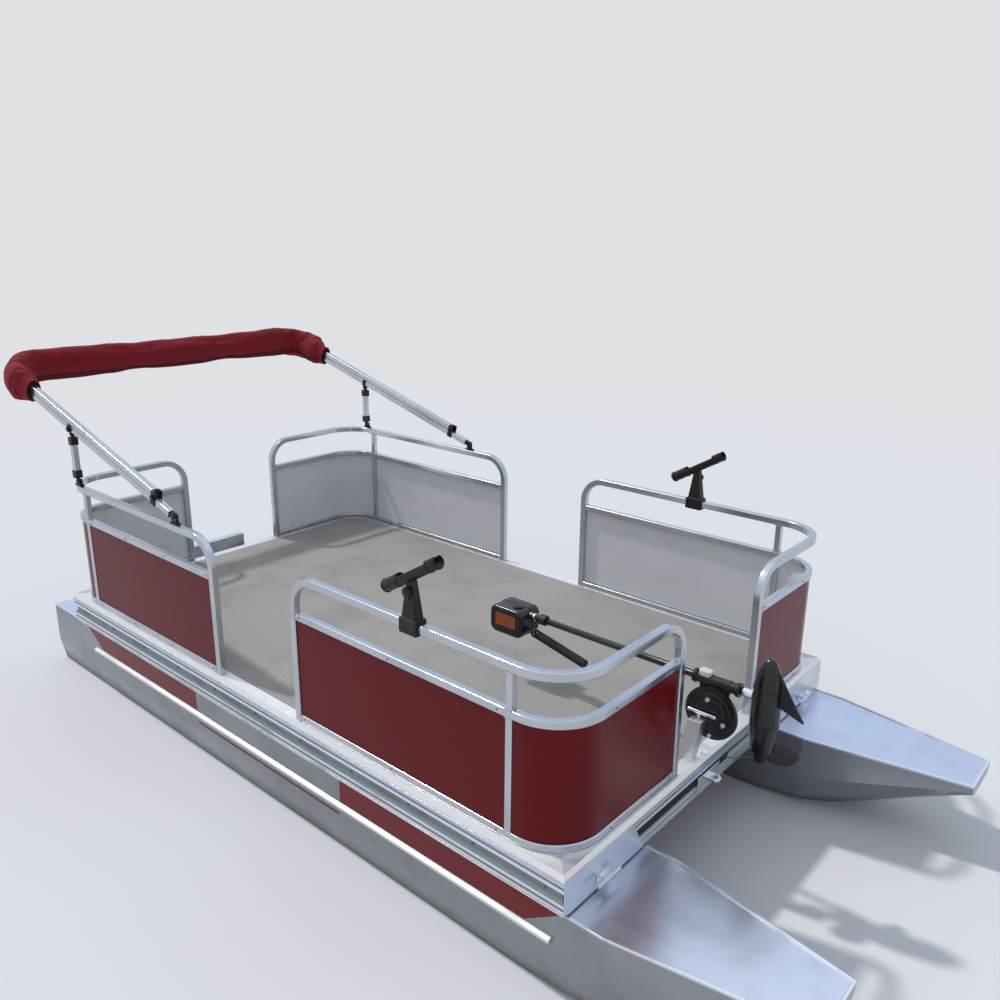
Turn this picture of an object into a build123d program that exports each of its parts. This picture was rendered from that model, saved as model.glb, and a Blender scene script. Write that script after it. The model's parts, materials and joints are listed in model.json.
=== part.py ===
"""Small pontoon fishing boat: two pontoons, a decked frame, four fence units, a folded bimini
and a bow-mounted trolling motor in its stowed position.

Millimetres. +X is forward, +Y is port, +Z is up. The origin is on the floor under the middle of
the boat's length, where it stands on the flat bottoms of its pontoons.
Places along the boat are first worked out from the stern edge of the deck, then moved by STERN_X.
"""

import os
from math import atan2, cos, degrees, hypot, radians, sin

from build123d import *

os.makedirs("parts", exist_ok=True)

# Hull and deck
BEAM = 2000
DECK_LENGTH = 3355
PONTOON_HEIGHT = 460
PONTOON_WIDTH = 465
PONTOON_INSET = 18
PONTOON_AFT = 310
NOSE_TIP_WIDTH = 247
PONTOON_FLOOR_WIDTH = 370
BILGE_EASE = 105
CREASE_SHARE = 0.53
STRAKE_HEIGHT = 338
STRAKE_OUT = 18
STRAKE_THICKNESS = 24
OUTER_STRAKE_START = 176
OUTER_STRAKE_AHEAD = -55
INNER_STRAKE_START = 900
HEM_AHEAD = 10
HEM_WIDTH = 9
HEM_HEIGHT = 5
BEAM_DEPTH = 138
BEAM_FLANGE = 46
CHANNEL_WALL = 5
CROSS_BEAMS = 8
BEAM_END_MARGIN = 70
BOARD = 18
COVERING = 4
RUB_HEIGHT = 132
TRIM_RISE = 20
TRIM_SLOPE = 9
RUB_DEPTH = 16
LIP_WIDTH = 60
GROOVE = 3
RECESS = 11

# Nose of each pontoon
KNUCKLE_AHEAD = 135
NOSE_AHEAD = 780
NOSE_SECTIONS = [
    # ahead of the deck's bow edge, height of the underside
    (-305, 0),
    (-55, 26),
    (KNUCKLE_AHEAD, 78),
    (365, 186),
    (565, 300),
    (NOSE_AHEAD, 412),
]
KNUCKLE_X = DECK_LENGTH + KNUCKLE_AHEAD
NOSE_TIP_X = DECK_LENGTH + NOSE_AHEAD

# Fences
TUBE = 32
RAIL_TUBE = 30
POST_TUBE = 28
FENCE_INSET = 18
FENCE_HEIGHT = 641
MID_RAIL_HEIGHT = 477
CORNER_RADIUS = 205
END_RADIUS = 140
CORNER_POST = 267
GAP = 576
BOW_RUN = 1383
STERN_RUN = 1421
PANEL = 4
PANEL_SETBACK = 10

# Bimini
BIMINI_TUBE = 32
BIMINI_X = 1125
BIMINI_REACH = 1730
BIMINI_STOWED = 15.9
BIMINI_BEND = 190
PIVOT_RISE = 37
BOW_GAP = 2
SECOND_BOW_START = 175
BOOT_DEEP = 212
BOOT_THICK = 130
BOOT_SIDES = 12
BOOT_LEG = 130
BOOT_END_SHARE = 0.6
STRUT_X = 190
STRUT_TUBE = 30
STRUT_SLEEVE = 3
PIN_RADIUS = 4
EAR = 5
MOUNT_LENGTH = 52
MOUNT_BASE = 8

STRUT_EYE = 12
STRUT_EYE_RADIUS = 10
STRUT_NECK = 24
STRUT_NECK_WIDTH = 18
STRUT_SLEEVE_START = 18
STRUT_SLEEVE_LENGTH = 40
EAR_RADIUS = 11
EAR_EASE = 0.55
STRUT_DROP = 34
STRUT_FOOT_RISE = 22
CLIP_LENGTH = 34
CLAMP_WALL = 4
STRUT_CLAMP = 26

# Trolling motor, with its shaft lying along the boat over the deck
MOTOR_Y = -100
MOTOR_PIVOT_AHEAD = 17
MOTOR_PIVOT_RISE = 203
SHAFT_ABOVE_PIVOT = 114
SHAFT_RADIUS = 14
SHAFT_AFT = 892
SLEEVE_RADIUS = 22
SLEEVE_LENGTH = 190
SLEEVE_RING = 4
SLEEVE_RING_LENGTH = 16
MOTOR_DROP = 700
COLLAR_LENGTH = 34
HEAD_LENGTH = 180
HEAD_WIDTH = 130
HEAD_DEPTH = 125
HEAD_DROP = 36
HEAD_EASE = 34
HEAD_END_EASE = 16
GRIP_RADIUS = 19
GRIP_LENGTH = 275
GRIP_SLOPE = 12
GRIP_START = 20
TILLER_AHEAD = 27
TILLER_DROP = 40
TONGUE_RADIUS = 13
TONGUE_WIDTH = 16
TILLER_CHEEK = 6
TILLER_PIN = 5
POD_AHEAD = 193
POD_RADIUS = 53
POD_NOSE = 163
POD_TAIL = 200
POD_SEAT = 10
ADAPTOR_RADIUS = 18
ADAPTOR_LENGTH = 36
SKEG_THICKNESS = 8
KNOB_AFT = 48
KNOB_LENGTH = 52
KNOB_WIDTH = 34
KNOB_RISE = 14
KNOB_EASE = 8
DISC_RADIUS = 105
DISC_THICKNESS = 10
DISC_OFFSET = 24
DISC_RIM = 8
DISC_RIM_RISE = 3
ARM_THICKNESS = 12
MOTOR_PIN_RADIUS = 10
RISER_DEPTH = 48
RISER_HEIGHT = 176
RISER_FOOT = 4
RISER_SIDE = [
    # ahead of the tilt pin, above the deck
    (-104, 0),
    (-42, 0),
    (-12, RISER_HEIGHT),
    (-66, RISER_HEIGHT),
]
RISER_PLATE = (-114, -28)
LEVER_LENGTH = 118
LEVER_RADIUS = 7
LEVER_AHEAD = 28
LEVER_RISE = 21
PROP_RADIUS = 140
PROP_HUB = 28
PROP_HUB_LENGTH = 52
PROP_PIN_RADIUS = 6
PROP_PIN_LENGTH = 32
PROP_CLEARANCE = 3
BLADE_ANGLE = 52
BLADE_PITCH = 34
BLADE_THICKNESS = 5
POD_SIDES = 20
ROUND_SIDES = 20
DISC_SIDES = 40
PIN_SIDES = 12
BOOT_BEND_STEP = 30

# Motor pod under the stern
POD_BOX_WIDTH = 420
POD_BOX_FLOOR = 235
TRANSOM_TOP = 610
TRANSOM_THICKNESS = 45
TRANSOM_AFT = 250
POD_BOX_FRONT = 640
POD_BOX_RAKE = 210
POD_BOX_STEP = 60

# Rod holders and mooring fittings
ROD_HOLDER_AFT = 695
ROD_TUBE_RADIUS = 24
ROD_BORE_RADIUS = 20
ROD_TUBE_LENGTH = 300
ROD_TILT = 31
ROD_RISE = 170
ROD_CLAMP_LENGTH = 84
ROD_CLAMP_WALL = 11
ROD_NECK_LENGTH = 67
CORNER_PLATE = 3
CORNER_PLATE_TOP = 386
CORNER_PLATE_BOTTOM = 465
CLEAT_Y = 790
CLEAT_DROP = 92
CLEAT_LENGTH = 130
CLEAT_BASE = (4, 78, 28)
CLEAT_STEM = (28, 39, 12)
CLEAT_HORN = 10
EYE_Y = -80
EYE_AHEAD = 30
EYE_DROP = 76
EYE_RADIUS = 24
EYE_BORE = 14
EYE_THICKNESS = 10
EYE_PLATE = 5
EYE_PLATE_WIDTH = 168
EYE_PLATE_HEIGHT = 48

RUNNING = 0.05
SIDE_PLAY = 0.5
FOOT_PLAY = 2

# Heights and places that follow
DECK_TOP = PONTOON_HEIGHT + BEAM_DEPTH + BOARD + COVERING
BOARD_TOP = DECK_TOP - COVERING
RUB_TOP = DECK_TOP - TRIM_RISE
RUB_BOTTOM = RUB_TOP - RUB_HEIGHT
FENCE_TOP = DECK_TOP + FENCE_HEIGHT
MID_TOP = DECK_TOP + MID_RAIL_HEIGHT
RAIL_LINE = BEAM / 2 - FENCE_INSET - TUBE / 2
PIVOT_Z = FENCE_TOP + PIVOT_RISE
STOWED = radians(BIMINI_STOWED)
BOOT_HALF_X = hypot(BOOT_THICK / 2 * cos(STOWED), BOOT_DEEP / 2 * sin(STOWED))
SECOND_LIFT = BIMINI_TUBE + BOW_GAP
BOOT_SHIFT = SECOND_LIFT / 2 * sin(STOWED)
AFT_END = BIMINI_X - BIMINI_REACH * cos(STOWED) - BOOT_HALF_X + BOOT_SHIFT
STERN_X = -(AFT_END + NOSE_TIP_X) / 2
BOW_X = STERN_X + DECK_LENGTH
ROD_HOLDER_X = BOW_X - ROD_HOLDER_AFT
SIDES = [("starboard", -1), ("port", 1)]


def save(builder, label):
    """Labels a finished piece and writes it to its own file."""
    builder.part.label = label
    export_step(builder.part, f"parts/{label}.step")


def pontoon_half_width(x):
    """Half width of a pontoon at a distance ahead of the deck's stern edge."""
    if x <= KNUCKLE_X:
        return PONTOON_WIDTH / 2
    share = (x - KNUCKLE_X) / (NOSE_TIP_X - KNUCKLE_X)
    return (PONTOON_WIDTH + (NOSE_TIP_WIDTH - PONTOON_WIDTH) * share) / 2


def pontoon_section(x, underside, centre):
    """One U-shaped section of a pontoon, flat on top, as a sketch across the boat."""
    half = pontoon_half_width(x)
    depth = PONTOON_HEIGHT - underside
    crease = underside + depth * CREASE_SHARE
    floor = half * PONTOON_FLOOR_WIDTH / PONTOON_WIDTH
    with BuildSketch(Plane(origin=(STERN_X + x, centre, 0), x_dir=(0, 1, 0), z_dir=(1, 0, 0))) as section:
        with BuildLine():
            Polyline(
                (-half, PONTOON_HEIGHT),
                (-half, crease),
                (-floor, underside),
                (floor, underside),
                (half, crease),
                (half, PONTOON_HEIGHT),
                close=True,
            )
        make_face()
        bilge = min(BILGE_EASE, 0.45 * (crease - underside))
        chamfer(section.vertices().group_by(Axis.Y)[0], length=bilge)
    return section.sketch


def strake_section(x, face_y, out):
    """Section of the low ledge along a pontoon's side, pointing out from face_y, as a sketch."""
    half = STRAKE_THICKNESS / 2
    plane = Plane(origin=(STERN_X + x, face_y, STRAKE_HEIGHT), x_dir=(0, 1, 0), z_dir=(1, 0, 0))
    with BuildSketch(plane) as section:
        with BuildLine():
            Polyline(
                (-out, half),
                (out * STRAKE_OUT, half / 2),
                (out * STRAKE_OUT, -half / 2),
                (-out, -half),
                close=True,
            )
        make_face()
    return section.sketch


def hem_outline(inset):
    """Outline of a nose's top face ahead of the deck, drawn in by an inset on all but its aft side."""
    half, tip = PONTOON_WIDTH / 2 - inset, NOSE_TIP_WIDTH / 2 - inset
    return [
        (DECK_LENGTH + HEM_AHEAD, -half),
        (KNUCKLE_X, -half),
        (NOSE_TIP_X - inset, -tip),
        (NOSE_TIP_X - inset, tip),
        (KNUCKLE_X, half),
        (DECK_LENGTH + HEM_AHEAD, half),
    ]


def pontoon(side):
    """A whole pontoon: body, tapered nose with a hem round its top, and a strake along each side."""
    centre = side * (BEAM / 2 - PONTOON_INSET - PONTOON_WIDTH / 2)
    strakes = [
        # face, direction out, start and end ahead of the deck's stern edge
        (centre + side * PONTOON_WIDTH / 2, side, OUTER_STRAKE_START, DECK_LENGTH + OUTER_STRAKE_AHEAD),
        (centre - side * PONTOON_WIDTH / 2, -side, INNER_STRAKE_START, KNUCKLE_X),
    ]
    with BuildPart() as hull:
        add(pontoon_section(-PONTOON_AFT, 0, centre))
        for ahead, underside in NOSE_SECTIONS:
            add(pontoon_section(DECK_LENGTH + ahead, underside, centre))
        loft(ruled=True)
        for face_y, out, start, end in strakes:
            extrude(strake_section(start, face_y, out), amount=end - start)
        with BuildSketch(Plane((STERN_X, centre, PONTOON_HEIGHT))):
            for inset, mode in [(0, Mode.ADD), (HEM_WIDTH, Mode.SUBTRACT)]:
                with BuildLine():
                    Polyline(hem_outline(inset), close=True)
                make_face(mode=mode)
        extrude(amount=HEM_HEIGHT)
    return hull


for side_name, side in SIDES:
    save(pontoon(side), f"pontoon_{side_name}")

# Channels across the boat, standing on both pontoons
with BuildPart() as cross_beams:
    pitch = (DECK_LENGTH - 2 * BEAM_END_MARGIN) / (CROSS_BEAMS - 1)
    beam_start = -(BEAM / 2 - RUB_DEPTH)
    for index in range(CROSS_BEAMS):
        x = STERN_X + BEAM_END_MARGIN + index * pitch
        plane = Plane(origin=(x, beam_start, PONTOON_HEIGHT), x_dir=(-1, 0, 0), z_dir=(0, 1, 0))
        with BuildSketch(plane):
            Rectangle(BEAM_FLANGE, BEAM_DEPTH, align=(Align.CENTER, Align.MIN))
            with Locations((CHANNEL_WALL, BEAM_DEPTH / 2)):
                Rectangle(BEAM_FLANGE, BEAM_DEPTH - 2 * CHANNEL_WALL, mode=Mode.SUBTRACT)
        extrude(amount=BEAM - 2 * RUB_DEPTH)
save(cross_beams, "cross_beams")

# Board and covering
with BuildPart() as deck_board:
    with Locations((STERN_X + DECK_LENGTH / 2, 0, BOARD_TOP)):
        Box(
            DECK_LENGTH - 2 * RUB_DEPTH,
            BEAM - 2 * RUB_DEPTH,
            BOARD,
            align=(Align.CENTER, Align.CENTER, Align.MAX),
        )
save(deck_board, "deck_board")

with BuildPart() as deck_covering:
    with Locations((STERN_X + DECK_LENGTH / 2, 0, BOARD_TOP)):
        Box(
            DECK_LENGTH - 2 * LIP_WIDTH,
            BEAM - 2 * LIP_WIDTH,
            COVERING,
            align=(Align.CENTER, Align.CENTER, Align.MIN),
        )
save(deck_covering, "deck_covering")


def rub_profile(groove_share, band_share):
    """Outline of the deck-edge extrusion: x is out from the boat's edge, y is the height."""
    upper_groove = RUB_TOP - RUB_HEIGHT * groove_share
    lower_groove = RUB_BOTTOM + RUB_HEIGHT * groove_share
    band_top = RUB_TOP - RUB_HEIGHT * band_share
    band_bottom = RUB_BOTTOM + RUB_HEIGHT * band_share
    return [
        (-LIP_WIDTH, DECK_TOP),
        (-TRIM_SLOPE, DECK_TOP),
        (0, RUB_TOP),
        (0, upper_groove + GROOVE),
        (-GROOVE, upper_groove),
        (0, upper_groove - GROOVE),
        (0, band_top + RECESS / 2),
        (-RECESS, band_top),
        (-RECESS, band_bottom),
        (0, band_bottom - RECESS / 2),
        (0, lower_groove + GROOVE),
        (-GROOVE, lower_groove),
        (0, lower_groove - GROOVE),
        (0, RUB_BOTTOM),
        (-RUB_DEPTH, RUB_BOTTOM),
        (-RUB_DEPTH, BOARD_TOP),
        (-LIP_WIDTH, BOARD_TOP),
    ]


RUB_OUTLINE = rub_profile(0.2, 0.37)

for side_name, side in SIDES:
    with BuildPart() as rub_rail:
        plane = Plane(origin=(STERN_X + RUB_DEPTH, side * BEAM / 2, 0), x_dir=(0, 1, 0), z_dir=(1, 0, 0))
        with BuildSketch(plane):
            with BuildLine():
                Polyline([(side * out, height) for out, height in RUB_OUTLINE], close=True)
            make_face()
        extrude(amount=DECK_LENGTH - 2 * RUB_DEPTH)
    save(rub_rail, f"rub_rail_{side_name}")

for end_name, end_x, end in [("stern", STERN_X, -1), ("bow", BOW_X, 1)]:
    with BuildPart() as end_rail:
        plane = Plane(origin=(end_x, -BEAM / 2, 0), x_dir=(-1, 0, 0), z_dir=(0, 1, 0))
        with BuildSketch(plane):
            with BuildLine():
                Polyline([(-end * out, height) for out, height in RUB_OUTLINE], close=True)
            make_face()
        extrude(amount=BEAM)
        for side in (-1, 1):
            with Locations((end_x - end * (RUB_DEPTH + LIP_WIDTH) / 2, side * BEAM / 2, BOARD_TOP)):
                Box(
                    LIP_WIDTH - RUB_DEPTH,
                    2 * LIP_WIDTH,
                    4 * COVERING + TRIM_RISE,
                    mode=Mode.SUBTRACT,
                )
    save(end_rail, f"end_rail_{end_name}")


def tube_section(plane, width):
    """A square tube's section on the given plane, as a sketch."""
    with BuildSketch(plane) as section:
        Rectangle(width, width)
    return section.sketch


def fence_frame(end, side, run):
    """One welded fence unit round a corner of the deck: hoop, rails and a corner post."""
    edge_x = BOW_X if end > 0 else STERN_X
    end_line = FENCE_INSET + TUBE / 2
    bend = CORNER_RADIUS - TUBE / 2
    rail_z = FENCE_TOP - TUBE / 2

    def place(inward, across, z):
        return (edge_x - end * inward, side * across, z)

    side_end = run - TUBE / 2
    gap_end = GAP / 2 + TUBE / 2
    with BuildPart() as frame:
        with BuildLine() as hoop:
            FilletPolyline(
                place(side_end, RAIL_LINE, DECK_TOP),
                place(side_end, RAIL_LINE, rail_z),
                place(end_line, RAIL_LINE, rail_z),
                place(end_line, gap_end, rail_z),
                place(end_line, gap_end, DECK_TOP),
                radius=[END_RADIUS - TUBE / 2, bend, END_RADIUS - TUBE / 2],
            )
        foot = Plane(place(side_end, RAIL_LINE, DECK_TOP))
        sweep(tube_section(foot, TUBE), path=hoop.wire())
        for z in (MID_TOP - RAIL_TUBE / 2, DECK_TOP + RAIL_TUBE / 2):
            with BuildLine() as rail:
                FilletPolyline(
                    place(side_end, RAIL_LINE, z),
                    place(end_line, RAIL_LINE, z),
                    place(end_line, gap_end, z),
                    radius=bend,
                )
            start = Plane(origin=place(side_end, RAIL_LINE, z), x_dir=(0, 1, 0), z_dir=(end, 0, 0))
            sweep(tube_section(start, RAIL_TUBE), path=rail.wire())
        corner = Plane(place(CORNER_POST - POST_TUBE / 2, RAIL_LINE, DECK_TOP + RAIL_TUBE / 2))
        extrude(tube_section(corner, POST_TUBE), amount=FENCE_HEIGHT - (RAIL_TUBE + TUBE) / 2)
    return frame


def fence_panels(end, side, run):
    """The side panel and the bent corner panel of one fence unit."""
    edge_x = BOW_X if end > 0 else STERN_X
    outer = FENCE_INSET + PANEL_SETBACK
    height = MID_RAIL_HEIGHT - 2 * RAIL_TUBE
    centre_x = STERN_X + DECK_LENGTH / 2
    radius = CORNER_RADIUS - PANEL_SETBACK
    spans = [
        # from and to along the side, whole width to the gap or side strip only
        (CORNER_POST, run - TUBE, LIP_WIDTH + TUBE),
        (0, CORNER_POST - POST_TUBE, BEAM / 2 - GAP / 2 - TUBE),
    ]
    with BuildPart() as panels:
        for near, far, width in spans:
            with BuildSketch(Plane.XY.offset(DECK_TOP + RAIL_TUBE)):
                with Locations((centre_x, 0)):
                    RectangleRounded(DECK_LENGTH - 2 * outer, BEAM - 2 * outer, radius)
                    RectangleRounded(
                        DECK_LENGTH - 2 * (outer + PANEL),
                        BEAM - 2 * (outer + PANEL),
                        radius - PANEL,
                        mode=Mode.SUBTRACT,
                    )
                window_x = edge_x - end * (near + far) / 2
                window_y = side * (BEAM / 2 - width / 2)
                with Locations((window_x, window_y)):
                    Rectangle(far - near, width, mode=Mode.INTERSECT)
            extrude(amount=height)
    return panels


UNITS = [
    # name, end, length of the side part
    ("bow", 1, BOW_RUN),
    ("stern", -1, STERN_RUN),
]
for end_name, end, run in UNITS:
    for side_name, side in SIDES:
        save(fence_frame(end, side, run), f"fence_frame_{end_name}_{side_name}")
        save(fence_panels(end, side, run), f"fence_panels_{end_name}_{side_name}")


# Bimini, folded aft over the stern on its struts
def bimini_point(along, across, lift=0):
    """A point of the folded bows: distance from the hinge along the bows, side, and height off them."""
    x = STERN_X + BIMINI_X - along * cos(STOWED) + lift * sin(STOWED)
    return (x, across, PIVOT_Z + along * sin(STOWED) + lift * cos(STOWED))


BOW_LINE = RAIL_LINE
BIMINI_UP = (sin(STOWED), 0, cos(STOWED))
BIMINI_AFT = (-cos(STOWED), 0, sin(STOWED))


def bimini_bow(start, reach, lift):
    """A U-shaped bow of square tube from one side to the other, lifted off the main bow's plane."""
    with BuildPart() as bow:
        with BuildLine() as line:
            FilletPolyline(
                bimini_point(start, -BOW_LINE, lift),
                bimini_point(reach, -BOW_LINE, lift),
                bimini_point(reach, BOW_LINE, lift),
                bimini_point(start, BOW_LINE, lift),
                radius=BIMINI_BEND,
            )
        foot = Plane(origin=bimini_point(start, -BOW_LINE, lift), x_dir=(0, 1, 0), z_dir=BIMINI_AFT)
        sweep(tube_section(foot, BIMINI_TUBE), path=line.wire())
    return bow


save(bimini_bow(MOUNT_LENGTH / 2, BIMINI_REACH, 0), "bimini_main_bow")
save(bimini_bow(SECOND_BOW_START, BIMINI_REACH, SECOND_LIFT), "bimini_second_bow")

BEND_START = BIMINI_REACH - BIMINI_BEND
BOOT_STATIONS = [(-1, 0, -BOOT_LEG, BOOT_END_SHARE)]
BOOT_STATIONS += [(-1, turn, 0, 1) for turn in range(0, 91, BOOT_BEND_STEP)]
BOOT_STATIONS += [(1, turn, 0, 1) for turn in range(90, 181, BOOT_BEND_STEP)]
BOOT_STATIONS += [(1, 180, -BOOT_LEG, BOOT_END_SHARE)]


def boot_section(side, turn, along, share):
    """The boot's oval section at a turn round the bows, from 0 at one leg to 180 at the other, as a sketch."""
    out_across, out_along = -cos(radians(turn)), sin(radians(turn))
    across = side * (BOW_LINE - BIMINI_BEND) + BIMINI_BEND * out_across
    origin = bimini_point(BEND_START + along + BIMINI_BEND * out_along, across, SECOND_LIFT / 2)
    outward = Vector(0, out_across, 0) + Vector(*BIMINI_AFT) * out_along
    onward = Vector(0, out_along, 0) - Vector(*BIMINI_AFT) * out_across
    corners = [radians(360 * (index + 0.5) / BOOT_SIDES) for index in range(BOOT_SIDES)]
    thick, deep = share * BOOT_THICK / 2, share * BOOT_DEEP / 2
    with BuildSketch(Plane(origin=origin, x_dir=outward, z_dir=onward)) as section:
        with BuildLine():
            Polyline([(thick * cos(corner), deep * sin(corner)) for corner in corners], close=True)
        make_face()
    return section.sketch


# The boot: the rolled canopy in its cover, round the cross part of both bows
with BuildPart() as boot:
    loft([boot_section(*station) for station in BOOT_STATIONS], ruled=True)
    for lift in (0, SECOND_LIFT):
        add(bimini_bow(MOUNT_LENGTH / 2, BIMINI_REACH, lift).part, mode=Mode.SUBTRACT)
save(boot, "bimini_boot")


def eye_sketch(plane, radius, bore, neck_length, neck_width):
    """An eight-sided eye with a neck along the plane's x direction and its bore if over zero, as a sketch."""
    with BuildSketch(plane) as eye:
        RegularPolygon(radius, 8, major_radius=False, rotation=180 / 8)
        with Locations((neck_length / 2, 0)):
            Rectangle(neck_length, neck_width)
        if bore:
            RegularPolygon(bore, PIN_SIDES, major_radius=False, mode=Mode.SUBTRACT)
    return eye.sketch


def cross_pin(centre, radius, length):
    """A pin along Y, centred on a point, as a part."""
    with BuildPart() as pin:
        with BuildSketch(Plane(origin=centre, z_dir=(0, 1, 0))):
            RegularPolygon(radius, PIN_SIDES)
        extrude(amount=length / 2, both=True)
    return pin.part


EYE_END = 14
EYE_END_RADIUS = 12
EAR_GAP = EYE_END + 2 * SIDE_PLAY
STRUT_LINE = (BIMINI_X - STRUT_X) / cos(STOWED)

with BuildPart() as eye_ends:
    for side_name, side in SIDES:
        start = Plane(
            origin=bimini_point(0, side * BOW_LINE - EYE_END / 2),
            x_dir=BIMINI_AFT,
            z_dir=(0, 1, 0),
        )
        extrude(
            eye_sketch(start, EYE_END_RADIUS, PIN_RADIUS + RUNNING, MOUNT_LENGTH / 2, BIMINI_TUBE - 5),
            amount=EYE_END,
        )
save(eye_ends, "bimini_eye_ends")


def ear_pair(x, y, rise, gap, pin):
    """A rail mount: a base plate with two ears, and a pin through them where pin is over zero."""
    with BuildPart() as mount:
        with Locations((x, y, FENCE_TOP)):
            Box(MOUNT_LENGTH, gap + 2 * EAR, MOUNT_BASE, align=(Align.CENTER, Align.CENTER, Align.MIN))
        for face in (-1, 1):
            plane = Plane(
                origin=(x, y + face * (gap / 2 + EAR / 2) - EAR / 2, FENCE_TOP),
                x_dir=(1, 0, 0),
                z_dir=(0, -1, 0),
            ).offset(-EAR)
            with BuildSketch(plane) as ear:
                with Locations((0, (rise + EAR_RADIUS) / 2)):
                    Rectangle(2 * EAR_RADIUS, rise + EAR_RADIUS)
                chamfer(ear.vertices().group_by(Axis.Y)[-1], length=EAR_RADIUS * EAR_EASE)
                if not pin:
                    with Locations((0, rise)):
                        RegularPolygon(PIN_RADIUS + RUNNING, PIN_SIDES, major_radius=False, mode=Mode.SUBTRACT)
            extrude(amount=EAR)
        if pin:
            add(cross_pin((x, y, FENCE_TOP + rise), pin, gap + EAR))
    return mount


with BuildPart() as rail_mounts:
    for side_name, side in SIDES:
        add(ear_pair(STERN_X + BIMINI_X, side * BOW_LINE, PIVOT_RISE, EAR_GAP, PIN_RADIUS))
        add(ear_pair(STERN_X + STRUT_X, side * BOW_LINE, STRUT_FOOT_RISE, STRUT_EYE + FOOT_PLAY, 0))
save(rail_mounts, "bimini_rail_mounts")


def tube_clamp(along, length, low, high):
    """A block round the main bow between two heights off its plane, as a part."""
    with BuildPart() as clamp:
        for side in (-1, 1):
            plane = Plane(
                origin=bimini_point(along, side * BOW_LINE),
                x_dir=(0, 1, 0),
                z_dir=BIMINI_AFT,
            )
            with BuildSketch(plane):
                with Locations((0, -(low + high) / 2)):
                    Rectangle(BIMINI_TUBE + 2 * CLAMP_WALL, high - low)
            extrude(amount=length)
        for lift in (0, SECOND_LIFT):
            add(bimini_bow(MOUNT_LENGTH / 2, BIMINI_REACH, lift).part, mode=Mode.SUBTRACT)
    return clamp


CLAMP_LOW = -(BIMINI_TUBE / 2 + CLAMP_WALL)
BOW_UNDER_SECOND = SECOND_LIFT - BIMINI_TUBE / 2
CLAMPS = [
    # start along the bow, length, lowest and highest
    (SECOND_BOW_START - CLIP_LENGTH, CLIP_LENGTH, CLAMP_LOW, SECOND_LIFT + BIMINI_TUBE / 2),
    (STRUT_LINE - STRUT_CLAMP / 2, STRUT_CLAMP, CLAMP_LOW, BOW_UNDER_SECOND),
]
with BuildPart() as clamps:
    for along, length, low, high in CLAMPS:
        add(tube_clamp(along, length, low, high).part)
    for side_name, side in SIDES:
        pivot = bimini_point(STRUT_LINE, side * BOW_LINE, -STRUT_DROP)
        for face in (-1, 1):
            y = pivot[1] + face * (STRUT_EYE / 2 + SIDE_PLAY + EAR / 2) - EAR / 2
            ear = Plane(origin=(pivot[0], y, pivot[2]), x_dir=BIMINI_UP, z_dir=(0, 1, 0))
            extrude(
                eye_sketch(ear, EAR_RADIUS, 0, STRUT_DROP + CLAMP_LOW + 1, 2 * EAR_RADIUS),
                amount=EAR,
            )
        add(cross_pin(pivot, PIN_RADIUS, STRUT_EYE + EAR))
save(clamps, "bimini_clamps")

STRUT_FOOT_Z = FENCE_TOP + STRUT_FOOT_RISE
for side_name, side in SIDES:
    top = bimini_point(STRUT_LINE, side * BOW_LINE, -STRUT_DROP)
    length = top[2] - STRUT_FOOT_Z
    tube_start = Plane((top[0], top[1], STRUT_FOOT_Z + STRUT_NECK))
    with BuildPart() as strut:
        extrude(tube_section(tube_start, STRUT_TUBE), amount=length - 2 * STRUT_NECK)
    save(strut, f"bimini_strut_{side_name}")
    with BuildPart() as strut_ends:
        for z, up in [(top[2], -1), (STRUT_FOOT_Z, 1)]:
            plane = Plane(origin=(top[0], top[1] - STRUT_EYE / 2, z), x_dir=(0, 0, up), z_dir=(0, 1, 0))
            bore = PIN_RADIUS + RUNNING
            extrude(eye_sketch(plane, STRUT_EYE_RADIUS, bore, STRUT_NECK, STRUT_NECK_WIDTH), amount=STRUT_EYE)
            sleeve_start = Plane(origin=(top[0], top[1], z + up * STRUT_SLEEVE_START), z_dir=(0, 0, up))
            extrude(tube_section(sleeve_start, STRUT_TUBE + 2 * STRUT_SLEEVE), amount=STRUT_SLEEVE_LENGTH)
        add(strut.part, mode=Mode.SUBTRACT)
    save(strut_ends, f"bimini_strut_ends_{side_name}")

# Trolling motor
PIVOT = (BOW_X + MOTOR_PIVOT_AHEAD, MOTOR_Y, DECK_TOP + MOTOR_PIVOT_RISE)
SHAFT_Z = PIVOT[2] + SHAFT_ABOVE_PIVOT
SHAFT_X = PIVOT[0] - SHAFT_AFT
POD_X = PIVOT[0] + POD_AHEAD
SLEEVE_AFT = PIVOT[0] - SLEEVE_LENGTH / 2
DISC_FACE = MOTOR_Y - DISC_OFFSET

with BuildPart() as riser:
    disc_back = DISC_FACE - DISC_THICKNESS
    port_face = Plane(origin=(PIVOT[0], disc_back, DECK_TOP), x_dir=(1, 0, 0), z_dir=(0, -1, 0))
    with BuildSketch(port_face):
        with BuildLine():
            Polyline(RISER_SIDE, close=True)
        make_face()
        with Locations((sum(RISER_PLATE) / 2, RISER_FOOT / 2)):
            Rectangle(RISER_PLATE[1] - RISER_PLATE[0], RISER_FOOT)
    extrude(amount=RISER_DEPTH)
save(riser, "motor_riser")

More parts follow.
